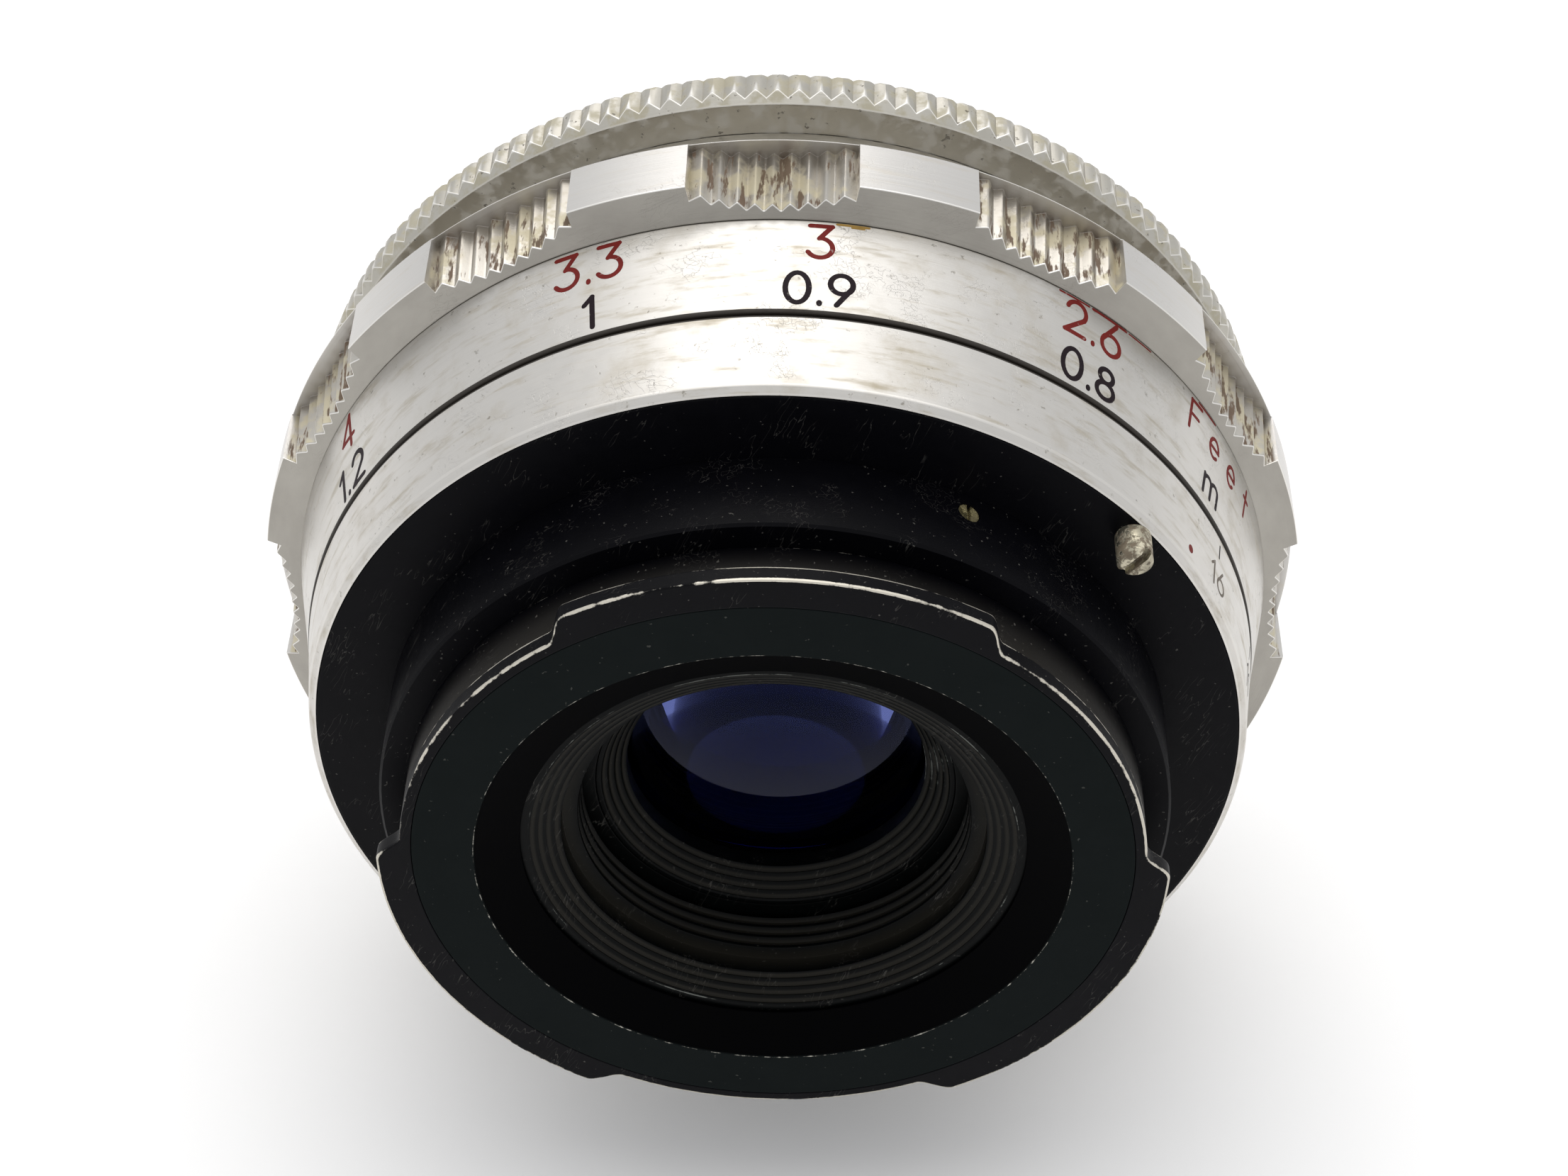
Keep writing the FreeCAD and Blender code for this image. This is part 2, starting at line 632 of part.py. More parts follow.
def iris_screws():
    """Radial screws that hold the iris in the lens barrel."""
    screws = []
    for angle in iris_screw_angles():
        head = radial_rod(0.58, LENS_BARREL_BORE_R, BORE_R - FIT - 0.15, angle, 6.7)
        shank = radial_rod(0.48, 17.6, LENS_BARREL_BORE_R + 0.1, angle, 6.7)
        screws.append(head.fuse(shank).removeSplitter())
    return Part.makeCompound(screws)


def rear_cell():
    return turned([
        (9.25, 4.7), (11.0 - SEAT, 4.7), (11.0 - SEAT, 2.7), (11.45, 2.7), (11.45, -2.9), (10.3, -2.9),
        (10.3, -0.1), (9.25, -0.1),
    ])


def rear_retaining_ring():
    """Threaded ring behind the rear glass, with anti-glare grooves."""
    cone = grooved_cone(10.0, -2.85, REAR_CLEAR_R, -1.35, 4, 0.16)
    return turned(cone + [(REAR_CLEAR_R, -0.35), (8.9, -0.12), (10.3 - SEAT, -0.12), (10.3 - SEAT, -2.85)])


def glass_rear_outer():
    return lens_surface((-30.0, 0.3), (20.0, 1.7), REAR_GLASS_R)


def glass_rear_inner():
    gap = 0.02
    return lens_surface((20.0, 1.7 + gap), (0, 4.65), REAR_GLASS_R)


# --- aperture ring (turns on the lens unit) -----------------------------------------------
ARM_ANGLE = 100.0
ARM_HALF_ANGLE = 4.0


def aperture_grip():
    """Knurled front ring with pointed teeth."""
    pitch = 360 / KNURL_TEETH
    outline = []
    for i in range(KNURL_TEETH):
        tip = polar(KNURL_REAR_R, i * pitch)
        root = polar(KNURL_REAR_R - KNURL_DEPTH, (i + 0.5) * pitch)
        outline += [(tip.x, tip.z), (root.x, root.z)]
    star = prism(outline, KNURL_REAR_Y, KNURL_FRONT_Y)
    keep = turned([
        (26.55 + SEAT, KNURL_REAR_Y), (KNURL_FOOT_R, KNURL_REAR_Y),
        (KNURL_REAR_R + 0.01, KNURL_REAR_Y + KNURL_BEVEL), (KNURL_FRONT_R, KNURL_FRONT_Y - 0.2),
        (KNURL_FRONT_R - 0.3, KNURL_FRONT_Y), (26.55 + SEAT, KNURL_FRONT_Y),
    ])
    return star.common(keep)


def aperture_neck():
    """Smooth neck behind the knurled ring; its web reaches the drive arm and holds the detents."""
    web_bore_r = 17.5
    shoulder = KNURL_REAR_Y - 0.05
    neck = turned([
        (web_bore_r, 17.3), (NECK_FRONT_R, 17.3), (NECK_FRONT_R, shoulder), (26.55, shoulder),
        (26.55, 25.25),
        (RIM_R + FIT, 25.25), (RIM_R + FIT, 18.3), (web_bore_r, 18.3),
    ])
    cuts = []
    for stop in range(CLICK_STOPS):
        angle = click_angle() - stop * APERTURE_TURN / (CLICK_STOPS - 1)
        cuts.append(Part.makeSphere(0.7, polar(CLICK_CIRCLE_R, angle, 18.7)))
    cuts += [axial_rod(0.47, 19.2, a, 17.0, 18.6) for a in arm_screw_angles()]
    return neck.cut(cuts)


def arm_screw_angles():
    return [ARM_ANGLE - 2.2, ARM_ANGLE + 2.2]


def aperture_arm():
    """Bent bar that carries the turn of the aperture ring down to the cam ring."""
    start = ARM_ANGLE - ARM_HALF_ANGLE
    end = ARM_ANGLE + ARM_HALF_ANGLE
    leg = arc_block(16.75, 17.4, start, end, CAM_FRONT_Y + SEAT, 18.35)
    foot = arc_block(15.85, 17.4, start, end, CAM_FRONT_Y + SEAT, 8.3)
    tab = arc_block(16.75, 20.2, start, end, 18.3 + SEAT, 18.55)
    arm = leg.fuse([foot, tab]).removeSplitter()
    return arm.cut([axial_rod(0.47, 19.2, a, 18.0, 18.8) for a in arm_screw_angles()])


def aperture_cam():
    """Cam ring whose curved slots move the drive pins of the blades."""
    ring = tube(14.6, CAM_R, CAM_REAR_Y, CAM_FRONT_Y)
    return ring.cut([around(cam_slot(), blade_angle(i)) for i in range(BLADES)])


def cam_slot():
    """Slot that follows the drive pin as the cam ring and the blade turn together."""
    steps = 14
    half = DRIVE_PIN_R + 0.10
    path = []
    for i in range(steps + 1):
        t = i / steps
        pin = drive_pin_at(BLADE_TURN * t)
        path.append(rotated(pin, -APERTURE_TURN * t))
    left = []
    right = []
    for i, point in enumerate(path):
        before = path[max(i - 1, 0)]
        after = path[min(i + 1, steps)]
        along = (after[0] - before[0], after[1] - before[1])
        size = math.hypot(*along)
        side = (-along[1] / size * half, along[0] / size * half)
        left.append((point[0] + side[0], point[1] + side[1]))
        right.append((point[0] - side[0], point[1] - side[1]))
    y0 = CAM_REAR_Y - 0.5
    y1 = CAM_FRONT_Y + 0.5
    body = prism(left + right[::-1], y0, y1)
    ends = [Part.makeCylinder(half, y1 - y0, V(x, y0, z), AXIS) for x, z in (path[0], path[-1])]
    return body.fuse(ends)


def rotated(point, angle):
    """Turn an (x, z) point about the optical axis, from +Z towards +X."""
    a = math.radians(angle)
    x, z = point
    return (x * math.cos(a) + z * math.sin(a), -x * math.sin(a) + z * math.cos(a))


def drive_pin_at(turn):
    """(x, z) of the first blade's drive pin after the blade has closed by a turn in degrees."""
    pin = polar(POST_CIRCLE_R, -DRIVE_PIN_LEAD)
    moved = rotated((pin.x, pin.z - POST_CIRCLE_R), turn)
    return (moved[0], moved[1] + POST_CIRCLE_R)


def iris_blade(index):
    """One curved blade with its eye, its tail and the pin that the cam ring drives."""
    y0 = IRIS_FLOOR_Y + 0.06 + index * LAYER
    y1 = y0 + BLADE_THICK
    outer = IRIS_OPEN_R + BLADE_WIDTH
    band = arc_block(IRIS_OPEN_R, outer, -4.0, BLADE_SWEEP, y0, y1)
    tip_centre = polar((IRIS_OPEN_R + outer) / 2, BLADE_SWEEP, y0)
    tip = Part.makeCylinder(BLADE_WIDTH / 2, BLADE_THICK, tip_centre, AXIS)
    eye = axial_rod(0.95, POST_CIRCLE_R, 0, y0, y1)
    neck = arc_block(outer - 0.5, POST_CIRCLE_R, -3.4, 3.4, y0, y1)
    tail = arc_block(POST_CIRCLE_R - 0.6, POST_CIRCLE_R + 0.6, -DRIVE_PIN_LEAD, 0, y0, y1)
    tail_end = axial_rod(0.6, POST_CIRCLE_R, -DRIVE_PIN_LEAD, y0, y1)
    pin = axial_rod(DRIVE_PIN_R, POST_CIRCLE_R, -DRIVE_PIN_LEAD, y0, CAM_FRONT_Y)
    blade = band.fuse([tip, eye, neck, tail, tail_end, pin]).removeSplitter()
    blade = blade.cut(axial_rod(POST_R + 0.04, POST_CIRCLE_R, 0, y0 - 1, y1 + 1))
    return around(blade, blade_angle(index))


def arm_screws():
    """Two screws from behind that fix the drive arm to the web of the aperture ring."""
    screws = []
    for angle in arm_screw_angles():
        screws.append(axial_rod(0.44, 19.2, angle, 17.35, 18.5))
    return Part.makeCompound(screws)


# --- write one STEP file per piece --------------------------------------------------------
PIECES = {
    "bayonet_ring": bayonet_ring,
    "rear_cover_ring": rear_cover_ring,
    "rear_baffle": rear_baffle,
    "mount_barrel": mount_barrel,
    "side_screw": side_screw,
    "flange_plate": flange_plate,
    "flange_screws": flange_screws,
    "locating_pin": locating_pin,
    "depth_scale_ring": depth_scale_ring,
    "fixed_barrel": fixed_barrel,
    "guide_keys": guide_keys,
    "focus_retainer": focus_retainer,
    "focus_stop_block": focus_stop_block,
    "stop_block_screws": stop_block_screws,
    "distance_scale_ring": distance_scale_ring,
    "focus_grip": focus_grip,
    "grip_lock_ring": grip_lock_ring,
    "focus_helicoid": focus_helicoid,
    "focus_stop_pin": focus_stop_pin,
    "lens_barrel": lens_barrel,
    "lens_helicoid": lens_helicoid,
    "front_rim": front_rim,
    "front_trim_ring": front_trim_ring,
    "front_cell": front_cell,
    "front_retaining_ring": front_retaining_ring,
    "glass_front": glass_front,
    "cell_spacer": cell_spacer,
    "glass_middle": glass_middle,
    "click_ball": click_ball,
    "click_spring": click_spring,
    "click_spring_screw": click_spring_screw,
    "iris_base": iris_base,
    "iris_cover": iris_cover,
    "iris_screws": iris_screws,
    "rear_cell": rear_cell,
    "rear_retaining_ring": rear_retaining_ring,
    "glass_rear_inner": glass_rear_inner,
    "glass_rear_outer": glass_rear_outer,
    "aperture_grip": aperture_grip,
    "aperture_neck": aperture_neck,
    "aperture_arm": aperture_arm,
    "arm_screws": arm_screws,
    "aperture_cam": aperture_cam,
}


def main():
    os.makedirs("parts", exist_ok=True)
    shapes = {name: build() for name, build in PIECES.items()}
    for index in range(BLADES):
        shapes["iris_blade_%d" % (index + 1)] = iris_blade(index)
    for name, shape in shapes.items():
        if not shape.isValid():
            print("not valid:", name)
        facts = (name, len(shape.Solids), len(shape.Faces), shape.Volume)
        print("%-22s solids %2d  faces %4d  volume %9.2f" % facts)
        shape.exportStep("parts/%s.step" % name)


main()
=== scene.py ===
"""Looks of the prime camera lens: fine turned pieces, knurls, engraved numbers, glass and wear."""
import json
import math

import bmesh
import bpy
import numpy as np
from mathutils import Matrix, Vector


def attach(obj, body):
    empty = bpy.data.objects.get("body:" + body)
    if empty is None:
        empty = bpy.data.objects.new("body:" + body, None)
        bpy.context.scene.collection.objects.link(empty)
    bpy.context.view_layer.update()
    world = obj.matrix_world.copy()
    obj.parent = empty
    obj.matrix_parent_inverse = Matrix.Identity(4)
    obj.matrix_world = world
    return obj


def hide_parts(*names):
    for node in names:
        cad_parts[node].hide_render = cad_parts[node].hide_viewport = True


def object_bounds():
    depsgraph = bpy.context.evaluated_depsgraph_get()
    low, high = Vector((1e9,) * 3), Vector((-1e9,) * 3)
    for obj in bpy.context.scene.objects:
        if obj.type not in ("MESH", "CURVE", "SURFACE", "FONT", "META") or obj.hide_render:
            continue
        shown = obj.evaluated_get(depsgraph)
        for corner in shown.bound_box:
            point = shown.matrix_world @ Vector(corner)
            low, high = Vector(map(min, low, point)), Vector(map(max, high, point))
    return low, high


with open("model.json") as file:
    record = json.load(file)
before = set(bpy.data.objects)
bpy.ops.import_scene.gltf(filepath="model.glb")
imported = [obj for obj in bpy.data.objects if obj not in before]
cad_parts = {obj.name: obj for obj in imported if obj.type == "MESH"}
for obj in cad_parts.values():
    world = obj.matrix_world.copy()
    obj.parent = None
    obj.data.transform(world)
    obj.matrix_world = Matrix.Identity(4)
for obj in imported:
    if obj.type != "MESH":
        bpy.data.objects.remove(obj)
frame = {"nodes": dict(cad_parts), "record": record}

cad_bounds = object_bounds()

MM = 0.001
NODES = frame["nodes"]
STEPS = 480            # steps around a plain turned piece
SHARP = math.radians(32)
PLAIN_CUT = 11.3       # degrees; where sections of the plain rings meet no screw hole or slot


# --- measures taken from the frame, in millimetres ----------------------------------------
def profile_points(node):
    """(radius, y) of every vertex of a CAD node."""
    mesh = NODES[node].data
    co = np.empty(len(mesh.vertices) * 3)
    mesh.vertices.foreach_get("co", co)
    co = co.reshape(-1, 3) / MM
    return np.hypot(co[:, 0], co[:, 2]), co[:, 1]


class Span:
    """Largest and smallest radius and the y range of a node."""

    def __init__(self, node):
        self.radius, self.y = profile_points(node)
        self.outer = self.radius.max()
        self.inner = self.radius.min()
        self.y0 = self.y.min()
        self.y1 = self.y.max()

    def outer_at(self, y, tolerance):
        """Largest radius among the vertices near a y."""
        return self.radius[np.abs(self.y - y) < tolerance].max()


# --- mesh building ------------------------------------------------------------------------
def even_angles(steps=STEPS):
    return np.linspace(0, 2 * math.pi, steps, endpoint=False)


class Corner:
    """A corner of a turned profile; radius and y may be arrays around the axis."""

    def __init__(self, radius, y, bevel=0.0, wear=1.0, dirt_and_shade=0.0):
        self.radius = radius
        self.y = y
        self.bevel = bevel
        self.wear = wear
        self.dirt_and_shade = dirt_and_shade


BEVEL_SHARE = 0.30     # of an edge's length, the most that one bevel may take
CHORD_SHARE, CORNER_SHARE = 0.42, 0.58     # place a bevel's middle row between chord and corner
FADE_LENGTH = 0.5      # of a bevel's size; wear fades out over it on either side


def rounded(corners, count):
    """Loops (radius, y, wear, dirt and painted shade) of a closed profile with its corners rounded."""
    points = []
    for c in corners:
        point = np.empty((count, 2))
        point[:, 0] = c.radius
        point[:, 1] = c.y
        points.append(point)
    loops = []
    total = len(corners)
    for i, corner in enumerate(corners):
        here = points[i]
        dirt_and_shade = np.zeros(count) + corner.dirt_and_shade
        if corner.bevel <= 0:
            loops.append((here[:, 0], here[:, 1], np.zeros(count), dirt_and_shade))
            continue
        back = points[i - 1] - here
        ahead = points[(i + 1) % total] - here
        back_len = np.maximum(np.hypot(back[:, 0], back[:, 1]), 1e-6)[:, None]
        ahead_len = np.maximum(np.hypot(ahead[:, 0], ahead[:, 1]), 1e-6)[:, None]
        back = back / back_len
        ahead = ahead / ahead_len
        size_back = np.minimum(corner.bevel, back_len * BEVEL_SHARE)
        size_ahead = np.minimum(corner.bevel, ahead_len * BEVEL_SHARE)
        start = here + back * size_back
        end = here + ahead * size_ahead
        middle = (start + end) / 2 * CHORD_SHARE + here * CORNER_SHARE
        before = start + back * size_back * FADE_LENGTH
        after = end + ahead * size_ahead * FADE_LENGTH
        wear = np.zeros(count) + corner.wear
        rows = ((before, 0.0), (start, 0.8), (middle, 1.0), (end, 0.8), (after, 0.0))
        loops += [(row[:, 0], row[:, 1], wear * share, dirt_and_shade) for row, share in rows]
    return loops


def new_object(name, verts, faces, wear=None, dirt_and_shade=None, sharp=SHARP):
    mesh = bpy.data.meshes.new(name)
    mesh.from_pydata(verts, [], faces)
    for label, values in (("wear", wear), ("dirt_and_shade", dirt_and_shade)):
        if values is not None:
            layer = mesh.attributes.new(label, "FLOAT", "POINT")
            layer.data.foreach_set("value", np.asarray(values, np.float32))
    work = bmesh.new()
    work.from_mesh(mesh)
    bmesh.ops.remove_doubles(work, verts=work.verts, dist=2e-7)
    bmesh.ops.dissolve_degenerate(work, edges=work.edges, dist=1e-7)
    bmesh.ops.recalc_face_normals(work, faces=work.faces)
    work.to_mesh(mesh)
    work.free()
    mesh.shade_smooth()
    mesh.set_sharp_from_angle(angle=sharp)
    piece = bpy.data.objects.new(name, mesh)
    bpy.context.scene.collection.objects.link(piece)
    return piece


def swept(name, corners, angles=None, sharp=SHARP):
    """Piece made by turning a closed profile about the optical axis."""
    if angles is None:
        angles = even_angles()
    count = len(angles)
    loops = rounded(corners, count)
    sin = np.sin(angles)
    cos = np.cos(angles)
    verts = np.concatenate([np.stack([r * sin, y, r * cos], 1) for r, y, _, _ in loops]) * MM
    wear = np.concatenate([w for _, _, w, _ in loops])
    dirt_and_shade = np.concatenate([d for _, _, _, d in loops])
    faces = []
    total = len(loops)
    for p in range(total):
        a = p * count
        b = (p + 1) % total * count
        for s in range(count):
            t = (s + 1) % count
            faces.append((a + s, a + t, b + t, b + s))
    return new_object(name, verts.tolist(), faces, wear, dirt_and_shade, sharp)


def finish_piece(piece, body, slot, material, *nodes):
    piece.data.materials.append(material)
    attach(piece, body)
    if nodes:
        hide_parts(*nodes)


BODY_OF = {node: body for body, nodes in frame["record"]["behaviour"]["bodies"].items() for node in nodes}
SLOT_OF = {part["node"]: part["material_slot"] for part in frame["record"]["subparts"]}


def section(node, angle):
    """Closed outline of (radius, y) where a half plane through the axis cuts a node, in millimetres."""
    turn = math.radians(angle)
    sin, cos = math.sin(turn), math.cos(turn)
    work = bmesh.new()
    work.from_mesh(NODES[node].data)
    bmesh.ops.remove_doubles(work, verts=work.verts, dist=5e-7)
    everything = list(work.verts) + list(work.edges) + list(work.faces)
    cut = bmesh.ops.bisect_plane(work, geom=everything, dist=1e-8,
                                 plane_co=(0, 0, 0), plane_no=(cos, 0, -sin))
    links = {}
    for item in cut["geom_cut"]:
        if isinstance(item, bmesh.types.BMEdge):
            a, b = item.verts
            if min(a.co.x * sin + a.co.z * cos, b.co.x * sin + b.co.z * cos) < 1e-5:
                continue
            links.setdefault(a, []).append(b)
            links.setdefault(b, []).append(a)
    best = []
    left = dict.fromkeys(links)        # keeps its order, so every run walks the loops alike
    while left:
        first = next(iter(left))
        del left[first]
        loop = [first]
        here, before = first, None
        while True:
            options = [v for v in links[here]
                       if v is not before and (v in left or v is first)]
            if not options or options[0] is first:
                break
            before, here = here, options[0]
            left.pop(here, None)
            loop.append(here)
        if len(loop) > len(best):
            best = loop
    outline = [((v.co.x * sin + v.co.z * cos) / MM, v.co.y / MM) for v in best]
    work.free()
    radius, y = profile_points(node)
    exact = []
    for r, h in simplified(outline, 0.003):
        near = np.abs(y - h) < 0.004
        gap = np.where(near, np.abs(radius - r), 9.0)
        k = int(gap.argmin())
        exact.append((float(radius[k]), float(y[k])) if gap[k] < 0.03 else (r, h))
    return simplified(exact)


def simplified(outline, tolerance=0.006):
    """The outline without the points that lie on a straight run."""
    points = list(outline)
    i = 0
    misses = 0
    while misses < len(points) and len(points) > 3:
        i %= len(points)
        a, b, c = points[i - 1], points[i], points[(i + 1) % len(points)]
        length = math.hypot(c[0] - a[0], c[1] - a[1])
        area = abs((c[0] - a[0]) * (a[1] - b[1]) - (a[0] - b[0]) * (c[1] - a[1]))
        off = area / max(length, 1e-9)
        if off < tolerance or math.hypot(b[0] - a[0], b[1] - a[1]) < 1e-4:
            points.pop(i)
            misses = 0
        else:
            i += 1
            misses += 1
    return points


def turned_corners(outline, bevel, wear, dirt_and_shade=1.0):
    """Corners of an outline: outside ones get a worn round, inside ones get dirt and painted shade.

    wear may be a function of (radius, y) where only some edges are rubbed.
    """
    area = sum(a[0] * b[1] - b[0] * a[1] for a, b in zip(outline, outline[1:] + outline[:1]))
    corners = []
    for i, (r, y) in enumerate(outline):
        a, c = outline[i - 1], outline[(i + 1) % len(outline)]
        bend = (r - a[0]) * (c[1] - y) - (y - a[1]) * (c[0] - r)
        outside = bend * area > 0
        rubbed = wear(r, y) if callable(wear) else wear
        corners.append(Corner(r, y, bevel, rubbed if outside else 0.0, 0.0 if outside else dirt_and_shade))
    return corners


# --- materials ----------------------------------------------------------------------------
class Shader:
    """Small helper that builds a node material around one Principled shader."""

    def __init__(self, name):
        self.material = bpy.data.materials.new(name)
        self.material.use_nodes = True
        self.tree = self.material.node_tree
        self.surface = next(n for n in self.tree.nodes if n.type == "BSDF_PRINCIPLED")
        coords = self.tree.nodes.new("ShaderNodeTexCoord")
        scaled = self.tree.nodes.new("ShaderNodeVectorMath")
        scaled.operation = "SCALE"
        scaled.inputs["Scale"].default_value = 1 / MM
        self.join(coords.outputs["Object"], scaled.inputs[0])
        self.place = scaled.outputs[0]
        split = self.tree.nodes.new("ShaderNodeSeparateXYZ")
        self.join(self.place, split.inputs[0])
        self.x, self.y, self.z = split.outputs
        self.r = self.math("SQRT", self.math("ADD", self.math("MULTIPLY", self.x, self.x),
                                             self.math("MULTIPLY", self.z, self.z)))

    def join(self, source, target):
        self.tree.links.new(source, target)

    def feed(self, value, target):
        if isinstance(value, (int, float)):
            target.default_value = value
        elif isinstance(value, tuple):
            target.default_value = (*value, 1.0) if len(value) == 3 else value
        else:
            self.join(value, target)

    def math(self, operation, a, b=0.0, clamp=False):
        node = self.tree.nodes.new("ShaderNodeMath")
        node.operation = operation
        node.use_clamp = clamp
        self.feed(a, node.inputs[0])
        self.feed(b, node.inputs[1])
        return node.outputs[0]

    def step(self, value, low, high):
        node = self.tree.nodes.new("ShaderNodeMapRange")
        node.interpolation_type = "SMOOTHSTEP"
        self.feed(value, node.inputs["Value"])
        node.inputs["From Min"].default_value = low
        node.inputs["From Max"].default_value = high
        return node.outputs["Result"]

    def vector(self, x, y, z=0.0):
        node = self.tree.nodes.new("ShaderNodeCombineXYZ")
        for value, target in zip((x, y, z), node.inputs):
            self.feed(value, target)
        return node.outputs[0]

    def noise(self, scale, detail=3.0, rough=0.55, vector=None):
        node = self.tree.nodes.new("ShaderNodeTexNoise")
        self.join(self.place if vector is None else vector, node.inputs["Vector"])
        node.inputs["Scale"].default_value = scale
        node.inputs["Detail"].default_value = detail
        node.inputs["Roughness"].default_value = rough
        return node.outputs["Fac"]

    def blend(self, fac, a, b):
        node = self.tree.nodes.new("ShaderNodeMix")
        node.data_type = "RGBA"
        self.feed(fac, node.inputs[0])
        self.feed(a, node.inputs[6])
        self.feed(b, node.inputs[7])
        return node.outputs[2]

    def attribute(self, name):
        node = self.tree.nodes.new("ShaderNodeAttribute")
        node.attribute_name = name
        return node.outputs["Fac"]

    def around(self):
        """Coordinates that draw a pattern out around the axis."""
        along, across = 0.3, 1.6
        return self.vector(self.math("MULTIPLY", self.x, along), self.math("MULTIPLY", self.y, across),
                           self.math("MULTIPLY", self.z, along))

    def lathe_lines(self, fine=9.0):
        """Fine lines left by turning: they change along the profile and hardly around it."""
        return self.noise(fine, 4.0, 0.7, self.vector(self.r, self.y, self.math("MULTIPLY", self.x, 0.01)))

    def scratches(self, turn, amount):
        """Thin random scratches that run across the turned lines."""
        rotate = self.tree.nodes.new("ShaderNodeVectorRotate")
        rotate.rotation_type = "EULER_XYZ"
        rotate.inputs["Rotation"].default_value = turn
        self.join(self.place, rotate.inputs["Vector"])
        stretch = self.tree.nodes.new("ShaderNodeVectorMath")
        stretch.operation = "MULTIPLY"
        stretch.inputs[1].default_value = (0.14, 2.6, 2.6)
        self.join(rotate.outputs[0], stretch.inputs[0])
        line = self.noise(1.0, 2.0, 0.4, stretch.outputs[0])
        thin = self.math("ABSOLUTE", self.math("SUBTRACT", line, 0.5))
        where = self.step(self.noise(0.35, 2.0), 0.52, 0.62)
        hair = self.math("SUBTRACT", 1.0, self.step(thin, 0.0, 0.012))
        return self.math("MULTIPLY", self.math("MULTIPLY", hair, where), amount)

    def bump(self, height, distance):
        node = self.tree.nodes.new("ShaderNodeBump")
        node.inputs["Strength"].default_value = 1.0
        node.inputs["Distance"].default_value = distance
        self.join(height, node.inputs["Height"])
        self.join(node.outputs[0], self.surface.inputs["Normal"])

    def finish(self, colour, rough, metallic=None):
        self.feed(colour, self.surface.inputs["Base Color"])
        self.feed(rough, self.surface.inputs["Roughness"])
        if metallic is not None:
            self.feed(metallic, self.surface.inputs["Metallic"])
        return self.material


BLACK_LINES = 0.004    # depth of the turned lines, in millimetres
METAL_LINES = 0.006
SCRATCHED = 0.5        # strength of the scratches on bare metal
PITTED = 0.6


def black_finish(name, base, rough, under, wear, dust, specular):
    """Black finish on metal, worn through at the edges, with lint and fine turned lines."""
    s = Shader(name)
    cloud = s.noise(0.45, 4.0)
    fine = s.math("MULTIPLY", s.math("SUBTRACT", s.noise(1.6, 5.0, 0.7), 0.5), 1.2)
    patch = s.math("MULTIPLY", s.math("SUBTRACT", s.noise(0.16, 3.0), 0.5), 2.2)
    rub = s.attribute("wear")
    edge = s.math("ADD", rub, s.math("MULTIPLY", s.step(rub, 0.0, 0.4), s.math("ADD", fine, patch)))
    worn = s.math("MULTIPLY", s.step(edge, 0.78, 1.02), wear, True)
    speck = s.math("MULTIPLY", s.step(s.noise(4.2, 2.0, 0.4), 0.71, 0.76), dust)
    mark = s.scratches((0.5, 1.1, 0.3), 0.35)
    tone = s.blend(cloud, base, tuple(c * 2.1 for c in base))
    tone = s.blend(s.math("ADD", speck, mark, True), tone, (0.11, 0.105, 0.095))
    tone = s.blend(s.math("MULTIPLY", s.attribute("dirt_and_shade"), 0.25), tone, (0.05, 0.045, 0.035))
    tone = s.blend(worn, tone, under)
    gloss = s.math("ADD", rough - 0.08, s.math("MULTIPLY", s.noise(1.1, 4.0), 0.2))
    s.surface.inputs["Specular IOR Level"].default_value = specular
    grain = s.math("ADD", s.lathe_lines(), s.math("MULTIPLY", s.noise(6.0, 3.0), 0.5))
    s.bump(grain, BLACK_LINES * MM)
    return s.finish(tone, gloss, s.math("MULTIPLY", worn, 0.9))


def bare_metal(name, base, rough, stain, stain_colour, grime=(0.10, 0.075, 0.045)):
    """Turned metal with stains, pits, scratches, grime and painted shade in the inside corners, and
    brighter worn edges.
    """
    s = Shader(name)
    streaky = s.math("MULTIPLY", s.step(s.noise(0.9, 6.0, 0.62, s.around()), 0.50, 0.72), stain)
    cloudy = s.math("MULTIPLY", s.step(s.noise(0.32, 6.0, 0.62), 0.50, 0.74), stain * 0.6)
    stained = s.math("ADD", streaky, cloudy, True)
    spots = s.math("MULTIPLY", s.step(s.noise(2.1, 4.0, 0.6), 0.64, 0.74), PITTED)
    mark = s.math("ADD", s.scratches((0.2, 0.6, 1.2), SCRATCHED),
                  s.scratches((1.4, 0.1, 0.5), SCRATCHED), True)
    tone = s.blend(s.lathe_lines(5.0), tuple(c * 0.90 for c in base), base)
    tone = s.blend(stained, tone, stain_colour)
    tone = s.blend(spots, tone, tuple(c * 0.45 for c in stain_colour))
    tone = s.blend(s.math("MULTIPLY", mark, 0.6), tone, tuple(c * 0.5 for c in base))
    # painted shade with some grime: inside corners and the scale-ring gap are darkened toward the grime
    # colour
    grime_and_shade = s.math("MULTIPLY", s.attribute("dirt_and_shade"), s.math("ADD", 0.35, s.noise(1.0, 4.0)), True)
    tone = s.blend(grime_and_shade, tone, grime)
    bright = s.step(s.attribute("wear"), 0.3, 0.9)
    tone = s.blend(s.math("MULTIPLY", bright, 0.6), tone, tuple(min(1.0, c * 1.12) for c in base))
    gloss = s.math("ADD", rough, s.math("MULTIPLY", s.math("SUBTRACT", s.noise(0.9, 5.0), 0.5), 0.22))
    gloss = s.math("ADD", gloss, s.math("MULTIPLY", s.math("ADD", stained, grime_and_shade), 0.2), True)
    grain = s.math("ADD", s.lathe_lines(), s.math("MULTIPLY", s.noise(3.0, 4.0), 0.4))
    dents = s.math("MULTIPLY", s.math("ADD", spots, mark), 2.0)
    s.bump(s.math("SUBTRACT", grain, dents), METAL_LINES * MM)
    return s.finish(tone, gloss, s.math("SUBTRACT", 1.0, s.math("MULTIPLY", grime_and_shade, 0.8), True))


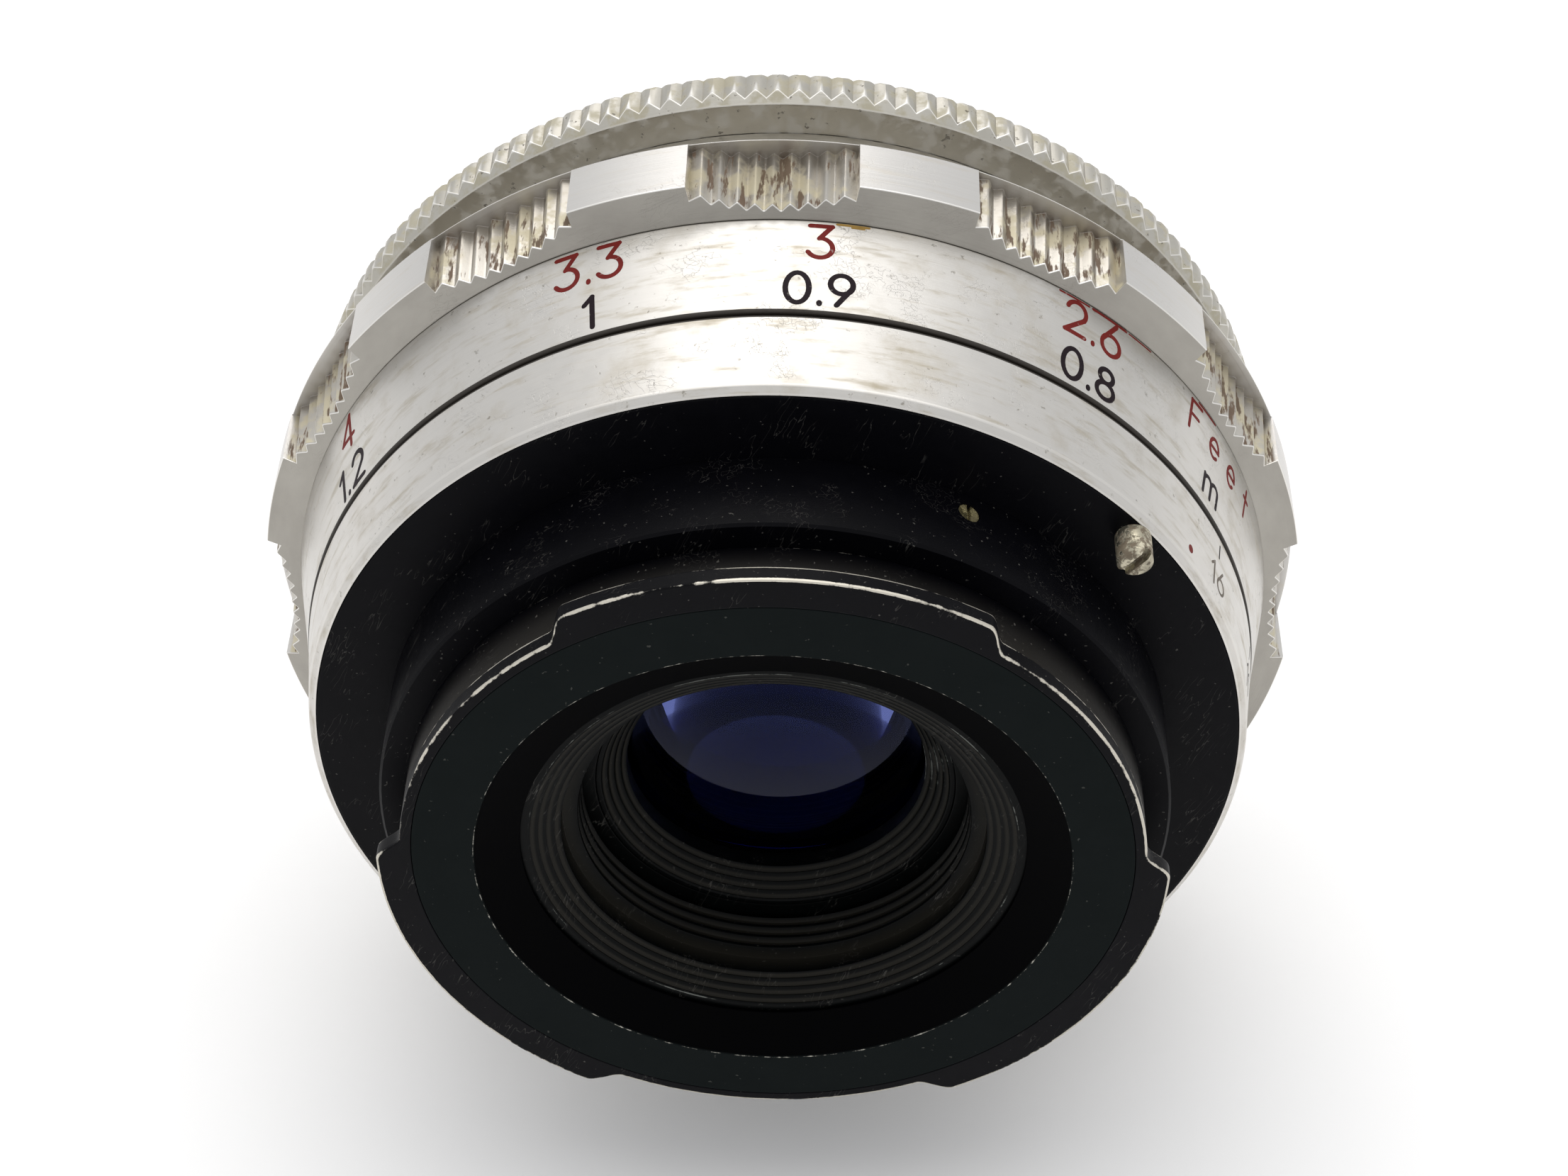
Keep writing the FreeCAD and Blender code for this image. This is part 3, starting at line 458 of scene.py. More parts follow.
def rusty_metal(name, base, crust, amount):
    """Old unplated metal under a patchy brown crust."""
    s = Shader(name)
    crusted = s.step(s.noise(2.2, 5.0, 0.62), amount - 0.05, amount + 0.07)
    film = s.step(s.noise(0.9, 3.0), 0.42, 0.62)
    tone = s.blend(film, base, tuple(c * 0.62 for c in base))
    tone = s.blend(s.math("MULTIPLY", crusted, 0.8), tone, crust)
    s.bump(s.math("ADD", s.noise(4.0, 4.0), crusted), 0.03 * MM)
    return s.finish(tone, s.math("ADD", 0.42, s.math("MULTIPLY", crusted, 0.3)),
                    s.math("SUBTRACT", 1.0, s.math("MULTIPLY", crusted, 0.8)))


def paint(name, colour, chip):
    """Paint rubbed into engraving, a little uneven and chipped."""
    s = Shader(name)
    missing = s.step(s.noise(2.4, 4.0, 0.65), 0.66 - 0.1 * chip, 0.72)
    tone = s.blend(s.noise(1.6, 3.0), colour, tuple(c * 1.7 for c in colour))
    tone = s.blend(s.math("MULTIPLY", missing, chip), tone, (0.55, 0.52, 0.46))
    s.surface.inputs["Specular IOR Level"].default_value = 0.12
    s.bump(s.noise(7.0, 3.0), 0.004 * MM)
    return s.finish(tone, 0.55)


def glass(name, tint):
    """Coated glass: a dark blue body that paints in the shade of the lens interior, faint coloured
    reflections and a little smear.
    """
    s = Shader(name)
    s.surface.inputs["Transmission Weight"].default_value = 1.0
    s.surface.inputs["IOR"].default_value = 1.60
    s.surface.inputs["Specular IOR Level"].default_value = 0.04
    s.surface.inputs["Specular Tint"].default_value = (*tint, 1.0)
    smear = s.step(s.noise(0.5, 5.0, 0.6), 0.5, 0.8)
    # the dark blue base colour is painted shade of the dark lens interior
    return s.finish((0.12, 0.15, 0.40), s.math("MULTIPLY", smear, 0.04))


LOOK = {
    "black_mount": black_finish("black_mount_look", (0.0008, 0.0008, 0.0014), 0.40,
                                (0.56, 0.53, 0.46), 1.0, 0.6, 0.07),
    "black_matt": black_finish("black_matt_look", (0.0006, 0.0008, 0.0008), 0.36,
                               (0.22, 0.23, 0.21), 0.5, 0.2, 0.07),
    "black_brass": black_finish("black_brass_look", (0.005, 0.005, 0.006), 0.38,
                                (0.58, 0.43, 0.20), 0.9, 0.4, 0.25),
    # the near-black grime colour paints shade into the inside corners and into the gap between the scale
    # rings
    "satin_aluminium": bare_metal("satin_aluminium_look", (0.64, 0.62, 0.585), 0.40, 0.60,
                                  (0.40, 0.355, 0.27), grime=(0.020, 0.015, 0.010)),
    "grip_aluminium": bare_metal("grip_aluminium_look", (0.78, 0.76, 0.72), 0.38, 0.30, (0.50, 0.44, 0.34)),
    "knurl_brass": bare_metal("knurl_brass_look", (0.60, 0.58, 0.54), 0.38, 0.5, (0.34, 0.30, 0.24)),
    "neck_brass": bare_metal("neck_brass_look", (0.58, 0.555, 0.50), 0.42, 0.5, (0.36, 0.33, 0.27)),
    "bare_brass": bare_metal("bare_brass_look", (0.56, 0.44, 0.24), 0.42, 0.4, (0.30, 0.23, 0.12)),
    "pin_steel": rusty_metal("pin_steel_look", (0.66, 0.61, 0.47), (0.10, 0.065, 0.035), 0.50),
    "screw_steel": bare_metal("screw_steel_look", (0.55, 0.55, 0.56), 0.32, 0.2, (0.28, 0.26, 0.24)),
    "blade_steel": black_finish("blade_steel_look", (0.008, 0.008, 0.010), 0.38,
                                (0.3, 0.3, 0.3), 0.2, 0.2, 0.25),
    "coated_glass": glass("coated_glass_look", (0.03, 0.05, 0.20)),
}
METRE_PAINT = paint("metre_paint", (0.007, 0.003, 0.005), 0.35)
FEET_PAINT = paint("feet_paint", (0.105, 0.009, 0.007), 0.35)
FAINT_PAINT = paint("faint_paint", (0.09, 0.075, 0.06), 1.0)
WHITE_PAINT = paint("white_paint", (0.62, 0.60, 0.55), 0.2)
SCREW_BRASS = rusty_metal("screw_brass_look", (0.46, 0.40, 0.20), (0.08, 0.065, 0.03), 0.50)
OLD_VARNISH = paint("old_varnish", (0.21, 0.13, 0.035), 0.5)

for node, piece in NODES.items():
    for holder in piece.material_slots:
        holder.link = "OBJECT"
        holder.material = SCREW_BRASS if node == "side_screw" else LOOK[SLOT_OF[node]]


# --- turned pieces that show --------------------------------------------------------------
def cover_look(bore):
    """The cover: charcoal on its flat face and dead black on the chamfer inside its bore."""
    s = Shader("cover_look")
    flat = s.step(s.r, bore - 0.10, bore + 0.02)
    fine = s.math("SUBTRACT", s.noise(1.6, 5.0, 0.7), 0.5)
    rub = s.attribute("wear")
    worn = s.step(s.math("ADD", rub, s.math("MULTIPLY", s.step(rub, 0.0, 0.4), fine)), 0.72, 0.95)
    speck = s.math("MULTIPLY", s.step(s.noise(3.6, 2.0, 0.4), 0.735, 0.77), 0.4)
    face = s.blend(s.noise(0.5, 4.0), (0.0052, 0.0072, 0.0072), (0.0074, 0.0096, 0.0096))
    tone = s.blend(flat, (0.0002, 0.0002, 0.0004), face)
    tone = s.blend(s.math("MULTIPLY", speck, flat), tone, (0.10, 0.10, 0.09))
    tone = s.blend(worn, tone, (0.50, 0.48, 0.42))
    s.surface.inputs["Specular IOR Level"].default_value = 0.022
    s.bump(s.math("ADD", s.lathe_lines(), s.noise(6.0, 3.0)), 0.003 * MM)
    return s.finish(tone, 0.55)


GAP_FACES = {"depth_scale_ring": "front", "distance_scale_ring": "rear"}


def turned_pieces():
    """Fine copies of the plain turned rings: node, bevel in millimetres and how worn the edges are."""
    cover = Span("rear_cover_ring")
    bore = max(r for r, y in section("rear_cover_ring", PLAIN_CUT)
               if abs(y - cover.y0) < 0.02 and r < cover.outer - 1)
    baffle = Span("rear_baffle")
    flange = Span("flange_plate")
    rules = (
        ("rear_cover_ring", 0.05, lambda r, y: 0.78 if abs(r - bore) < 0.05 else 0.0),
        ("rear_baffle", 0.04, lambda r, y: 0.8 if y < baffle.y0 + 0.02 and r < 15 else 0.35),
        ("flange_plate", 0.08, lambda r, y: 0.30 if r > flange.outer - 0.1 else 0.0),
        ("depth_scale_ring", 0.08, 1.0),
        ("distance_scale_ring", 0.08, 1.0),
        ("front_trim_ring", 0.05, 0.3),
        ("front_cell", 0.04, 0.3),
        ("rear_cell", 0.05, 0.4),
        ("rear_retaining_ring", 0.04, 0.5),
    )
    for node, bevel, wear in rules:
        corners = turned_corners(section(node, PLAIN_CUT), bevel, wear)
        if node in GAP_FACES:
            darken_gap(corners, GAP_FACES[node])
        look = cover_look(bore) if node == "rear_cover_ring" else LOOK[SLOT_OF[node]]
        finish_piece(swept(node + "_fine", corners), BODY_OF[node], SLOT_OF[node], look, node)


GAP_SHADOW_WIDTH = 0.16    # how far the painted gap shadow reaches over the lip


def darken_gap(corners, side):
    """Painted shadow: the two faces of the gap between the fixed and the turning scale ring are blackened
    where shade falls into it.
    """
    if side == "front":
        edge = max(c.y for c in corners if c.radius > 26.5)
        inward = -GAP_SHADOW_WIDTH
    else:
        edge = min(c.y for c in corners)
        inward = GAP_SHADOW_WIDTH
    gap = [c for c in corners if abs(c.y - edge) < 0.15]
    # painted shadow: the faces of the gap get full darkening and no wear
    for corner in gap:
        corner.wear = 0.0
        corner.dirt_and_shade = 3.0
    lip = max(gap, key=lambda c: c.radius)
    k = corners.index(lip)
    after = corners[(k + 1) % len(corners)]
    forward = abs(after.y - edge) > 1
    cone = after if forward else corners[k - 1]
    share = inward / (cone.y - lip.y)
    clean = Corner(lip.radius + (cone.radius - lip.radius) * share, lip.y + inward, 0.01, 0.0)
    corners.insert(k + 1 if forward else k, clean)


LUG_CENTRE = 1.6       # degrees
LUG_PITCH = 120.0
LUG_HALF = 30.0
LUG_BLEND = 5.0        # each S-shaped end


def bayonet():
    """Bayonet ring: the lip's radius swells into three lugs with S-shaped ends."""
    span = Span("bayonet_ring")
    half_pitch = LUG_PITCH / 2
    outline = section("bayonet_ring", LUG_CENTRE + half_pitch)
    neck = max(r for r, y in outline if abs(y - span.y0) < 0.05)
    lug_front = span.y[span.radius > span.outer - 0.02].max()
    angles = even_angles(1080)
    away = np.abs((np.degrees(angles) - LUG_CENTRE + half_pitch) % LUG_PITCH - half_pitch)
    t = np.clip((LUG_HALF + LUG_BLEND - away) / LUG_BLEND, 0, 1)
    lip = neck + (span.outer - neck) * t * t * (3 - 2 * t)
    lug = [
        Corner(lip, span.y0, 0.13, 1.15),
        Corner(lip, lug_front, 0.08, 1.0),
        Corner(neck, lug_front, 0.05, 0.0, 1.0),
    ]
    corners = turned_corners(outline, 0.06, lambda r, y: 0.45 if r > neck - 0.05 else 0.0, 0.4)
    k = next(i for i, (r, y) in enumerate(outline)
             if abs(r - neck) < 0.01 and abs(y - span.y0) < 0.01)
    forward = abs(outline[(k + 1) % len(outline)][0] - neck) < 0.05
    corners[k:k + 1] = lug if forward else lug[::-1]
    piece = swept("bayonet_ring_fine", corners, angles)
    finish_piece(piece, "mount", "black_mount", LOOK["black_mount"], "bayonet_ring")


SCALLOPS = 12
SCALLOP_HALF = 8.75    # degrees
RIDGES = 9
RIDGE_PITCH = 1.83     # degrees
RIDGE_HEIGHT = 0.41
RIDGE_DEPTH_REAR = (1.31, 0.62)   # depth behind the lobes, mid scallop and at its ends
RIDGE_DEPTH_FRONT = (0.95, 0.35)
GRIP_RIM = 0.15        # thickness of the full rim in front of the scallops
SCALLOP_WALL = 0.12    # degrees that a scallop's end wall takes


def grip_outline(outer, depths):
    """Angles in degrees and radii around the scalloped grip, with slightly rounded ridges."""
    middle, end = depths
    half_count = (RIDGES - 1) / 2
    corner_angles = [-SCALLOP_HALF]
    corner_radii = [outer]
    for i in range(2 * RIDGES + 1):
        angle = (i / 2 - half_count - 0.5) * RIDGE_PITCH
        depth = middle - (middle - end) * (angle / (half_count * RIDGE_PITCH)) ** 2
        corner_angles.append(angle)
        corner_radii.append(outer - depth - (RIDGE_HEIGHT if i % 2 == 0 else 0.0))
    corner_angles[1] = -SCALLOP_HALF + SCALLOP_WALL
    corner_angles[-1] = SCALLOP_HALF - SCALLOP_WALL
    corner_angles.append(SCALLOP_HALF)
    corner_radii.append(outer)
    inside = np.linspace(-SCALLOP_HALF + SCALLOP_WALL, SCALLOP_HALF - SCALLOP_WALL, 145)
    soft = np.interp(inside, corner_angles, corner_radii)
    soft[2:-2] = np.convolve(soft, (0.2, 0.6, 0.2), "same")[2:-2]
    plain = np.linspace(SCALLOP_HALF, 360 / SCALLOPS - SCALLOP_HALF, 26)
    angles = []
    radii = []
    for i in range(SCALLOPS):
        turn = i * 360 / SCALLOPS
        angles += [turn + inside, turn + plain]
        radii += [soft, np.full(len(plain), outer)]
    return np.concatenate(angles), np.concatenate(radii)


def grip():
    """Focusing grip: plain lobes between tapering ridged scallops, with a conical rear face."""
    span = Span("focus_grip")
    lobe_outline = section("focus_grip", 15.0)
    foot = max(r for r, y in lobe_outline if abs(y - span.y0) < 0.02)
    lobe_rear = min(y for r, y in lobe_outline if r > span.outer - 0.03)
    angles, rear = grip_outline(span.outer, RIDGE_DEPTH_REAR)
    front = grip_outline(span.outer, RIDGE_DEPTH_FRONT)[1]
    lobe = rear > span.outer - 0.01
    wall_y = span.y1 - GRIP_RIM
    cone = (lobe_rear - span.y0) / (span.outer - foot)
    taper = (front - rear) / (wall_y - span.y0)
    foot_y = cone * (rear - foot) / (1 - cone * taper)
    bevel = 0.12
    rim = np.where(lobe, span.outer, span.outer - 0.06)
    bore = sorted(((r, y) for r, y in lobe_outline if r < foot - 0.3), key=lambda p: (-p[1], -p[0]))
    corners = [
        Corner(foot, span.y0, 0.04, 0.2),
        Corner(rear + taper * foot_y, span.y0 + foot_y, 0.05, 1.0),
        Corner(front, wall_y, 0.03, 0.0, np.where(lobe, 0.0, 1.0)),
        Corner(rim, wall_y, 0.03, np.where(lobe, 0.0, 0.9)),
        Corner(rim, span.y1 - bevel, 0.03, 0.9),
        Corner(span.outer - bevel, span.y1, 0.04, 0.7),
    ]
    corners += [Corner(r, y, 0.03, 0.3) for r, y in bore]
    piece = swept("focus_grip_fine", corners, np.radians(angles), math.radians(34))
    look = grip_look(span, foot, lobe_rear)
    finish_piece(piece, "focus_ring", "grip_aluminium", look, "focus_grip")


def grip_look(span, foot, lobe_rear):
    """The grip's metal: stains run along the grooves, ridge tips and lobes are rubbed bright, and the
    conical rear face gets painted shade.
    """
    s = Shader("focus_grip_look")
    outer = span.outer
    slope = (lobe_rear - span.y0) / (outer - foot)
    cone_y = s.math("ADD", span.y0, s.math("MULTIPLY", s.math("SUBTRACT", s.r, foot), slope))
    above = s.math("SUBTRACT", s.y, cone_y)
    wall_y = span.y1 - GRIP_RIM
    behind_rim = s.math("SUBTRACT", 1.0, s.step(s.y, wall_y - 0.05, wall_y))
    flank = s.math("MULTIPLY", s.step(above, 0.05, 0.12), behind_rim)
    along = s.vector(s.math("MULTIPLY", s.x, 2.4), s.math("MULTIPLY", s.y, 0.45),
                     s.math("MULTIPLY", s.z, 2.4))
    streak = s.noise(0.8, 4.0, 0.6, along)
    patch = s.noise(0.55, 4.0, 0.6)
    deep = s.math("SUBTRACT", 1.0, s.step(s.r, outer - 1.45, outer - 0.55))
    low = s.math("SUBTRACT", 1.0, s.step(s.r, outer - 0.36, outer - 0.12))
    inside = s.math("MULTIPLY", low, flank)
    brown = s.step(s.math("ADD", streak, s.math("MULTIPLY", deep, 0.05)), 0.57, 0.64)
    brown = s.math("MULTIPLY", brown, inside)
    yellow = s.math("MULTIPLY", s.step(patch, 0.46, 0.62), inside)
    stained = s.math("MULTIPLY", s.step(s.noise(0.9, 6.0, 0.6, s.around()), 0.5, 0.75), 0.35)
    mark = s.math("ADD", s.scratches((0.3, 0.9, 1.0), 0.5), s.scratches((1.3, 0.2, 0.4), 0.4), True)
    tone = s.blend(s.lathe_lines(5.0), (0.57, 0.555, 0.53), (0.64, 0.625, 0.60))
    tone = s.blend(stained, tone, (0.55, 0.49, 0.39))
    tone = s.blend(mark, tone, (0.42, 0.39, 0.34))
    tone = s.blend(s.math("MULTIPLY", inside, 0.45), tone, (0.42, 0.39, 0.32))
    tone = s.blend(s.math("MULTIPLY", yellow, 0.55), tone, (0.62, 0.55, 0.34))
    stain = s.blend(patch, (0.16, 0.085, 0.035), (0.045, 0.022, 0.014))
    tone = s.blend(s.math("MULTIPLY", brown, 0.9), tone, stain)
    # painted shade with some grime where the scallops meet the front rim wall
    tone = s.blend(s.math("MULTIPLY", s.attribute("dirt_and_shade"), 0.4), tone, (0.16, 0.12, 0.08))
    # painted shade: the rear-facing conical face gets a darker copy of the metal, as it faces away from the
    # light
    rear = s.blend(s.noise(0.8, 5.0, 0.6, s.around()), (0.27, 0.255, 0.23), (0.43, 0.41, 0.37))
    below_lobe = s.math("SUBTRACT", 1.0, s.step(s.y, lobe_rear - 0.02, lobe_rear + 0.04))
    cone = s.math("MULTIPLY", s.math("SUBTRACT", 1.0, flank), below_lobe)
    tone = s.blend(cone, tone, rear)
    bright = s.step(s.attribute("wear"), 0.4, 0.9)
    tone = s.blend(s.math("MULTIPLY", bright, 0.7), tone, (0.90, 0.88, 0.84))
    matt = s.math("ADD", brown, s.math("MULTIPLY", yellow, 0.6), True)
    s.bump(s.math("SUBTRACT", s.lathe_lines(), s.math("ADD", mark, brown)), 0.008 * MM)
    rough = s.math("ADD", 0.36, s.math("MULTIPLY", matt, 0.35))
    return s.finish(tone, rough, s.math("SUBTRACT", 1.0, s.math("MULTIPLY", matt, 0.8)))


KNURL_TEETH = 150
KNURL_DEPTH = 0.36
TOOTH_POINTS = 8       # points around one tooth
KNURL_BEVEL = 0.2      # at the front


def knurl():
    """Front ring with shallow pointed teeth that fade out into a rear bevel."""
    span = Span("aperture_grip")
    outline = section("aperture_grip", 0.0)
    foot = max(r for r, y in outline if abs(y - span.y0) < 0.02)
    rear_r = span.outer
    apex_y = min(y for r, y in outline if r > rear_r - 0.06)
    front_r = span.outer_at(span.y1 - KNURL_BEVEL, 0.1)
    count = KNURL_TEETH * TOOTH_POINTS
    angles = even_angles(count)
    phase = (np.arange(count) % TOOTH_POINTS) / TOOTH_POINTS
    tip = 1 - np.abs(phase - np.round(phase)) * 2
    r = rear_r - KNURL_DEPTH * (1 - tip)
    foot_y = span.y0 + (apex_y - span.y0) * (r - foot) / (rear_r - foot)
    front = np.minimum(r, front_r)
    crest = np.where(tip > 0.99, 1.0, 0.55)
    corners = [
        Corner(foot, span.y0, 0.05, 0.6),
        Corner(r, foot_y, 0.05, 0.9),
        Corner(front, span.y1 - KNURL_BEVEL, 0.04, crest),
        Corner(np.minimum(front - 0.02, front_r - 0.3), span.y1, 0.04, 0.8),
        Corner(span.inner, span.y1, 0.03, 0.4),
        Corner(span.inner, span.y0, 0.03, 0.0, 1.0),
    ]
    piece = swept("aperture_grip_fine", corners, angles, math.radians(12))
    look = knurl_look(rear_r, span.y0)
    finish_piece(piece, "aperture_ring", "knurl_brass", look, "aperture_grip")


def knurl_look(outer, rear_y):
    """Plated brass: a grey, spotted rear wall, greenish grime between the teeth, bright tooth tips."""
    s = Shader("aperture_grip_look")
    crest = s.step(s.r, outer - 0.13, outer - 0.03)
    wall = s.math("SUBTRACT", 1.0, s.step(s.y, rear_y + 0.03, rear_y + 0.10))
    grime = s.math("MULTIPLY", s.step(s.noise(0.75, 4.0, 0.6), 0.45, 0.62),
                   s.math("SUBTRACT", 1.0, crest))
    spots = s.step(s.noise(1.7, 4.0, 0.6), 0.64, 0.70)
    tone = s.blend(s.noise(0.5, 5.0), (0.43, 0.41, 0.36), (0.53, 0.51, 0.46))
    tone = s.blend(s.math("MULTIPLY", grime, 0.55), tone, (0.36, 0.32, 0.20))
    grey = s.blend(s.noise(0.4, 5.0, 0.65), (0.46, 0.44, 0.39), (0.60, 0.575, 0.52))
    tone = s.blend(wall, tone, grey)
    tone = s.blend(s.math("MULTIPLY", spots, 0.75), tone, (0.10, 0.085, 0.06))
    bright = s.step(s.attribute("wear"), 0.5, 0.9)
    rubbed = s.math("MULTIPLY", s.math("MAXIMUM", bright, crest), 0.75)
    tone = s.blend(rubbed, tone, (0.88, 0.86, 0.82))
    s.bump(s.math("ADD", s.lathe_lines(), s.math("MULTIPLY", spots, -1.5)), 0.006 * MM)
    rough = s.math("ADD", 0.36, s.math("MULTIPLY", s.math("ADD", grime, spots), 0.2))
    dull = s.math("MULTIPLY", s.math("ADD", grime, spots, True), 0.6)
    return s.finish(tone, rough, s.math("SUBTRACT", 1.0, dull))


# --- glass --------------------------------------------------------------------------------
CURVES = {             # curvature radius of the rear and front face, 0 for flat, in millimetres
    "glass_rear_outer": (-30.0, 20.0),
    "glass_rear_inner": (20.0, 0.0),
    "glass_middle": (22.0, -45.0),
    "glass_front": (0.0, 20.0),
}
GLASS_RINGS = 26       # rings from the axis to the rim of a face
CORE = 0.02            # radius of the core left open at the axis, closed by cap_ends


def lens_glass(node, rear, front):
    """Glass element with true spherical faces, smoother than the node's own mesh."""
    span = Span(node)
    rim = span.y[span.radius > span.outer - 0.02]

    def face(curve, y):
        r = np.linspace(CORE, span.outer, GLASS_RINGS)
        if curve == 0:
            return [(a, y) for a in r]
        size = abs(curve)
        rise = np.sqrt(size ** 2 - r ** 2) - math.sqrt(size ** 2 - span.outer ** 2)
        return list(zip(r, y + math.copysign(1, curve) * rise))

    outline = face(rear, rim.min()) + face(front, rim.max())[::-1]
    corners = [Corner(r, y) for r, y in outline]
    piece = swept(node + "_fine", corners, even_angles(192), math.radians(35))
    cap_ends(piece.data)
    finish_piece(piece, BODY_OF[node], "coated_glass", LOOK["coated_glass"], node)


def cap_ends(mesh):
    """Closes the tiny core left at the axis: its wall becomes two capped poles."""
    work = bmesh.new()
    work.from_mesh(mesh)
    core = [v for v in work.verts if math.hypot(v.co.x, v.co.z) < 1.5 * CORE * MM]
    middle = sum(v.co.y for v in core) / len(core)
    poles = [[v for v in core if v.co.y < middle], [v for v in core if v.co.y >= middle]]
    for ring in poles:
        bmesh.ops.pointmerge(work, verts=ring, merge_co=Vector((0, ring[0].co.y, 0)))
    loose = [e for e in work.edges if not e.link_faces]
    bmesh.ops.delete(work, geom=loose, context="EDGES")
    bmesh.ops.recalc_face_normals(work, faces=work.faces)
    work.to_mesh(mesh)
    work.free()


# --- engraved marks -----------------------------------------------------------------------
def arc(cx, cy, rx, ry, start, end, count=18):
    a = np.radians(np.linspace(start, end, count))
    return [(cx + rx * math.cos(t), cy + ry * math.sin(t)) for t in a]


GLYPHS = {             # width and strokes at unit height; a stroke is (points, closed)
    "0": (0.62, [(arc(0.31, 0.5, 0.31, 0.5, 0, 345, 24), True)]),
    "1": (0.26, [([(0.0, 0.78), (0.22, 1.0)], False), ([(0.22, 1.0), (0.22, 0.0)], False)]),
    "2": (0.60, [(arc(0.30, 0.70, 0.29, 0.30, 165, -32), False), ([(0.55, 0.54), (0.0, 0.0)], False),
                 ([(0.0, 0.0), (0.60, 0.0)], False)]),
    "3": (0.60, [([(0.03, 1.0), (0.56, 1.0)], False), ([(0.56, 1.0), (0.26, 0.61)], False),
                 (arc(0.27, 0.31, 0.32, 0.31, 88, -150), False)]),
    "4": (0.62, [([(0.46, 0.0), (0.46, 1.0)], False), ([(0.46, 1.0), (0.0, 0.28)], False),
                 ([(0.0, 0.28), (0.62, 0.28)], False)]),
    "5": (0.60, [([(0.54, 1.0), (0.10, 1.0)], False), ([(0.10, 1.0), (0.06, 0.55)], False),
                 (arc(0.28, 0.32, 0.32, 0.32, 130, -150), False)]),
    "6": (0.60, [(arc(0.30, 0.31, 0.30, 0.31, 0, 345, 24), True), ([(0.03, 0.42), (0.42, 1.0)], False)]),
    "7": (0.58, [([(0.0, 1.0), (0.58, 1.0)], False), ([(0.58, 1.0), (0.20, 0.0)], False)]),
    "8": (0.60, [(arc(0.30, 0.27, 0.30, 0.27, 0, 345, 24), True),
                 (arc(0.30, 0.77, 0.24, 0.23, 0, 345, 24), True)]),
    ".": (0.0, [([(0.0, 0.0), (0.0, 0.03)], False)]),
    "i": (1.25, [([(0.62 + 0.60 * math.cos(t) / (1 + math.sin(t) ** 2),
                    0.5 + 0.62 * math.sin(t) * math.cos(t) / (1 + math.sin(t) ** 2))
                   for t in np.linspace(0, 2 * math.pi, 48, endpoint=False)], True)]),
    "m": (0.86, [([(0.0, 0.0), (0.0, 0.66)], False), (arc(0.215, 0.45, 0.215, 0.21, 180, 0), False),
                 ([(0.43, 0.45), (0.43, 0.0)], False), (arc(0.645, 0.45, 0.215, 0.21, 180, 0), False),
                 ([(0.86, 0.45), (0.86, 0.0)], False)]),
    "F": (0.52, [([(0.0, 0.0), (0.0, 1.0)], False), ([(0.0, 1.0), (0.52, 1.0)], False),
                 ([(0.0, 0.52), (0.42, 0.52)], False)]),
    "e": (0.52, [(arc(0.26, 0.33, 0.26, 0.33, 0, 310), False), ([(0.02, 0.33), (0.52, 0.33)], False)]),
    "t": (0.36, [([(0.16, 0.95), (0.16, 0.0)], False), ([(0.0, 0.64), (0.36, 0.64)], False)]),
    "|": (0.0, [([(0.0, 0.0), (0.0, 1.0)], False)]),
}
GLYPHS["9"] = (0.60, [([(0.60 - x, 1.0 - y) for x, y in points], closed)
                      for points, closed in GLYPHS["6"][1]])
SPACING = 0.28         # between characters, at unit height
PATH_PITCH = 0.12      # longest step along a stroke, in millimetres


def fine_path(points, closed, pitch):
    """The path with points no further apart than pitch, all but the last where it is closed."""
    ends = list(points) + ([points[0]] if closed else [])
    path = []
    for (ax, ay), (bx, by) in zip(ends, ends[1:]):
        count = max(1, math.ceil(math.hypot(bx - ax, by - ay) / pitch))
        path += [(ax + (bx - ax) * k / count, ay + (by - ay) * k / count) for k in range(count)]
    if not closed:
        path.append(ends[-1])
    return np.array(path)


PROUD = 0.012          # height of the paint's crown over the metal
SUNK = -0.03
STROKE = ((-1, SUNK), (-0.85, PROUD * 0.6), (0, PROUD), (0.85, PROUD * 0.6), (1, SUNK))
ACROSS = len(STROKE)
CAP = (1.45, 1.15, 0.8, 0.4)       # radians around a stroke's round end, from its tip inwards


def ribbon(path, closed, half):
    """Rows of (u, v, height) across a stroke with round ends."""
    count = len(path)
    if closed:
        ahead, back = np.roll(path, -1, 0), np.roll(path, 1, 0)
    else:
        ahead, back = np.vstack([path[1:], path[-1:]]), np.vstack([path[:1], path[:-1]])
    along = ahead - back
    along /= np.maximum(np.hypot(along[:, 0], along[:, 1]), 1e-9)[:, None]
    stations = [(path[i], along[i], 1.0) for i in range(count)]
    if not closed:
        head = [(path[0] - along[0] * half * math.sin(a), along[0], math.cos(a)) for a in CAP]
        tail = [(path[-1] + along[-1] * half * math.sin(a), along[-1], math.cos(a)) for a in CAP[::-1]]
        stations = head + stations + tail
    rows = []
    for (u, v), (tu, tv), full in stations:
        row = []
        for side, lift in STROKE:
            width = side * half * full
            row.append((u - tv * width, v + tu * width, lift))
        rows.append(row)
    return rows


def add_text(target, text, height, half, place):
    """Adds the ribbons of a short text; place maps (u, v, lift) with u centred to a point in space."""
    total = sum(GLYPHS[c][0] for c in text) + SPACING * (len(text) - 1)
    verts, faces = target
    pen = -total / 2
    for c in text:
        width, strokes = GLYPHS[c]
        for points, closed in strokes:
            scaled = [((pen + x) * height, (y - 0.5) * height) for x, y in points]
            rows = ribbon(fine_path(scaled, closed, PATH_PITCH), closed, half)
            base = len(verts)
            for row in rows:
                verts.extend(place(*p) for p in row)
            last = len(rows) if closed else len(rows) - 1
            for i in range(last):
                a = base + i * ACROSS
                b = base + (i + 1) % len(rows) * ACROSS
                faces.extend((a + k, a + k + 1, b + k + 1, b + k) for k in range(ACROSS - 1))
        pen += width + SPACING


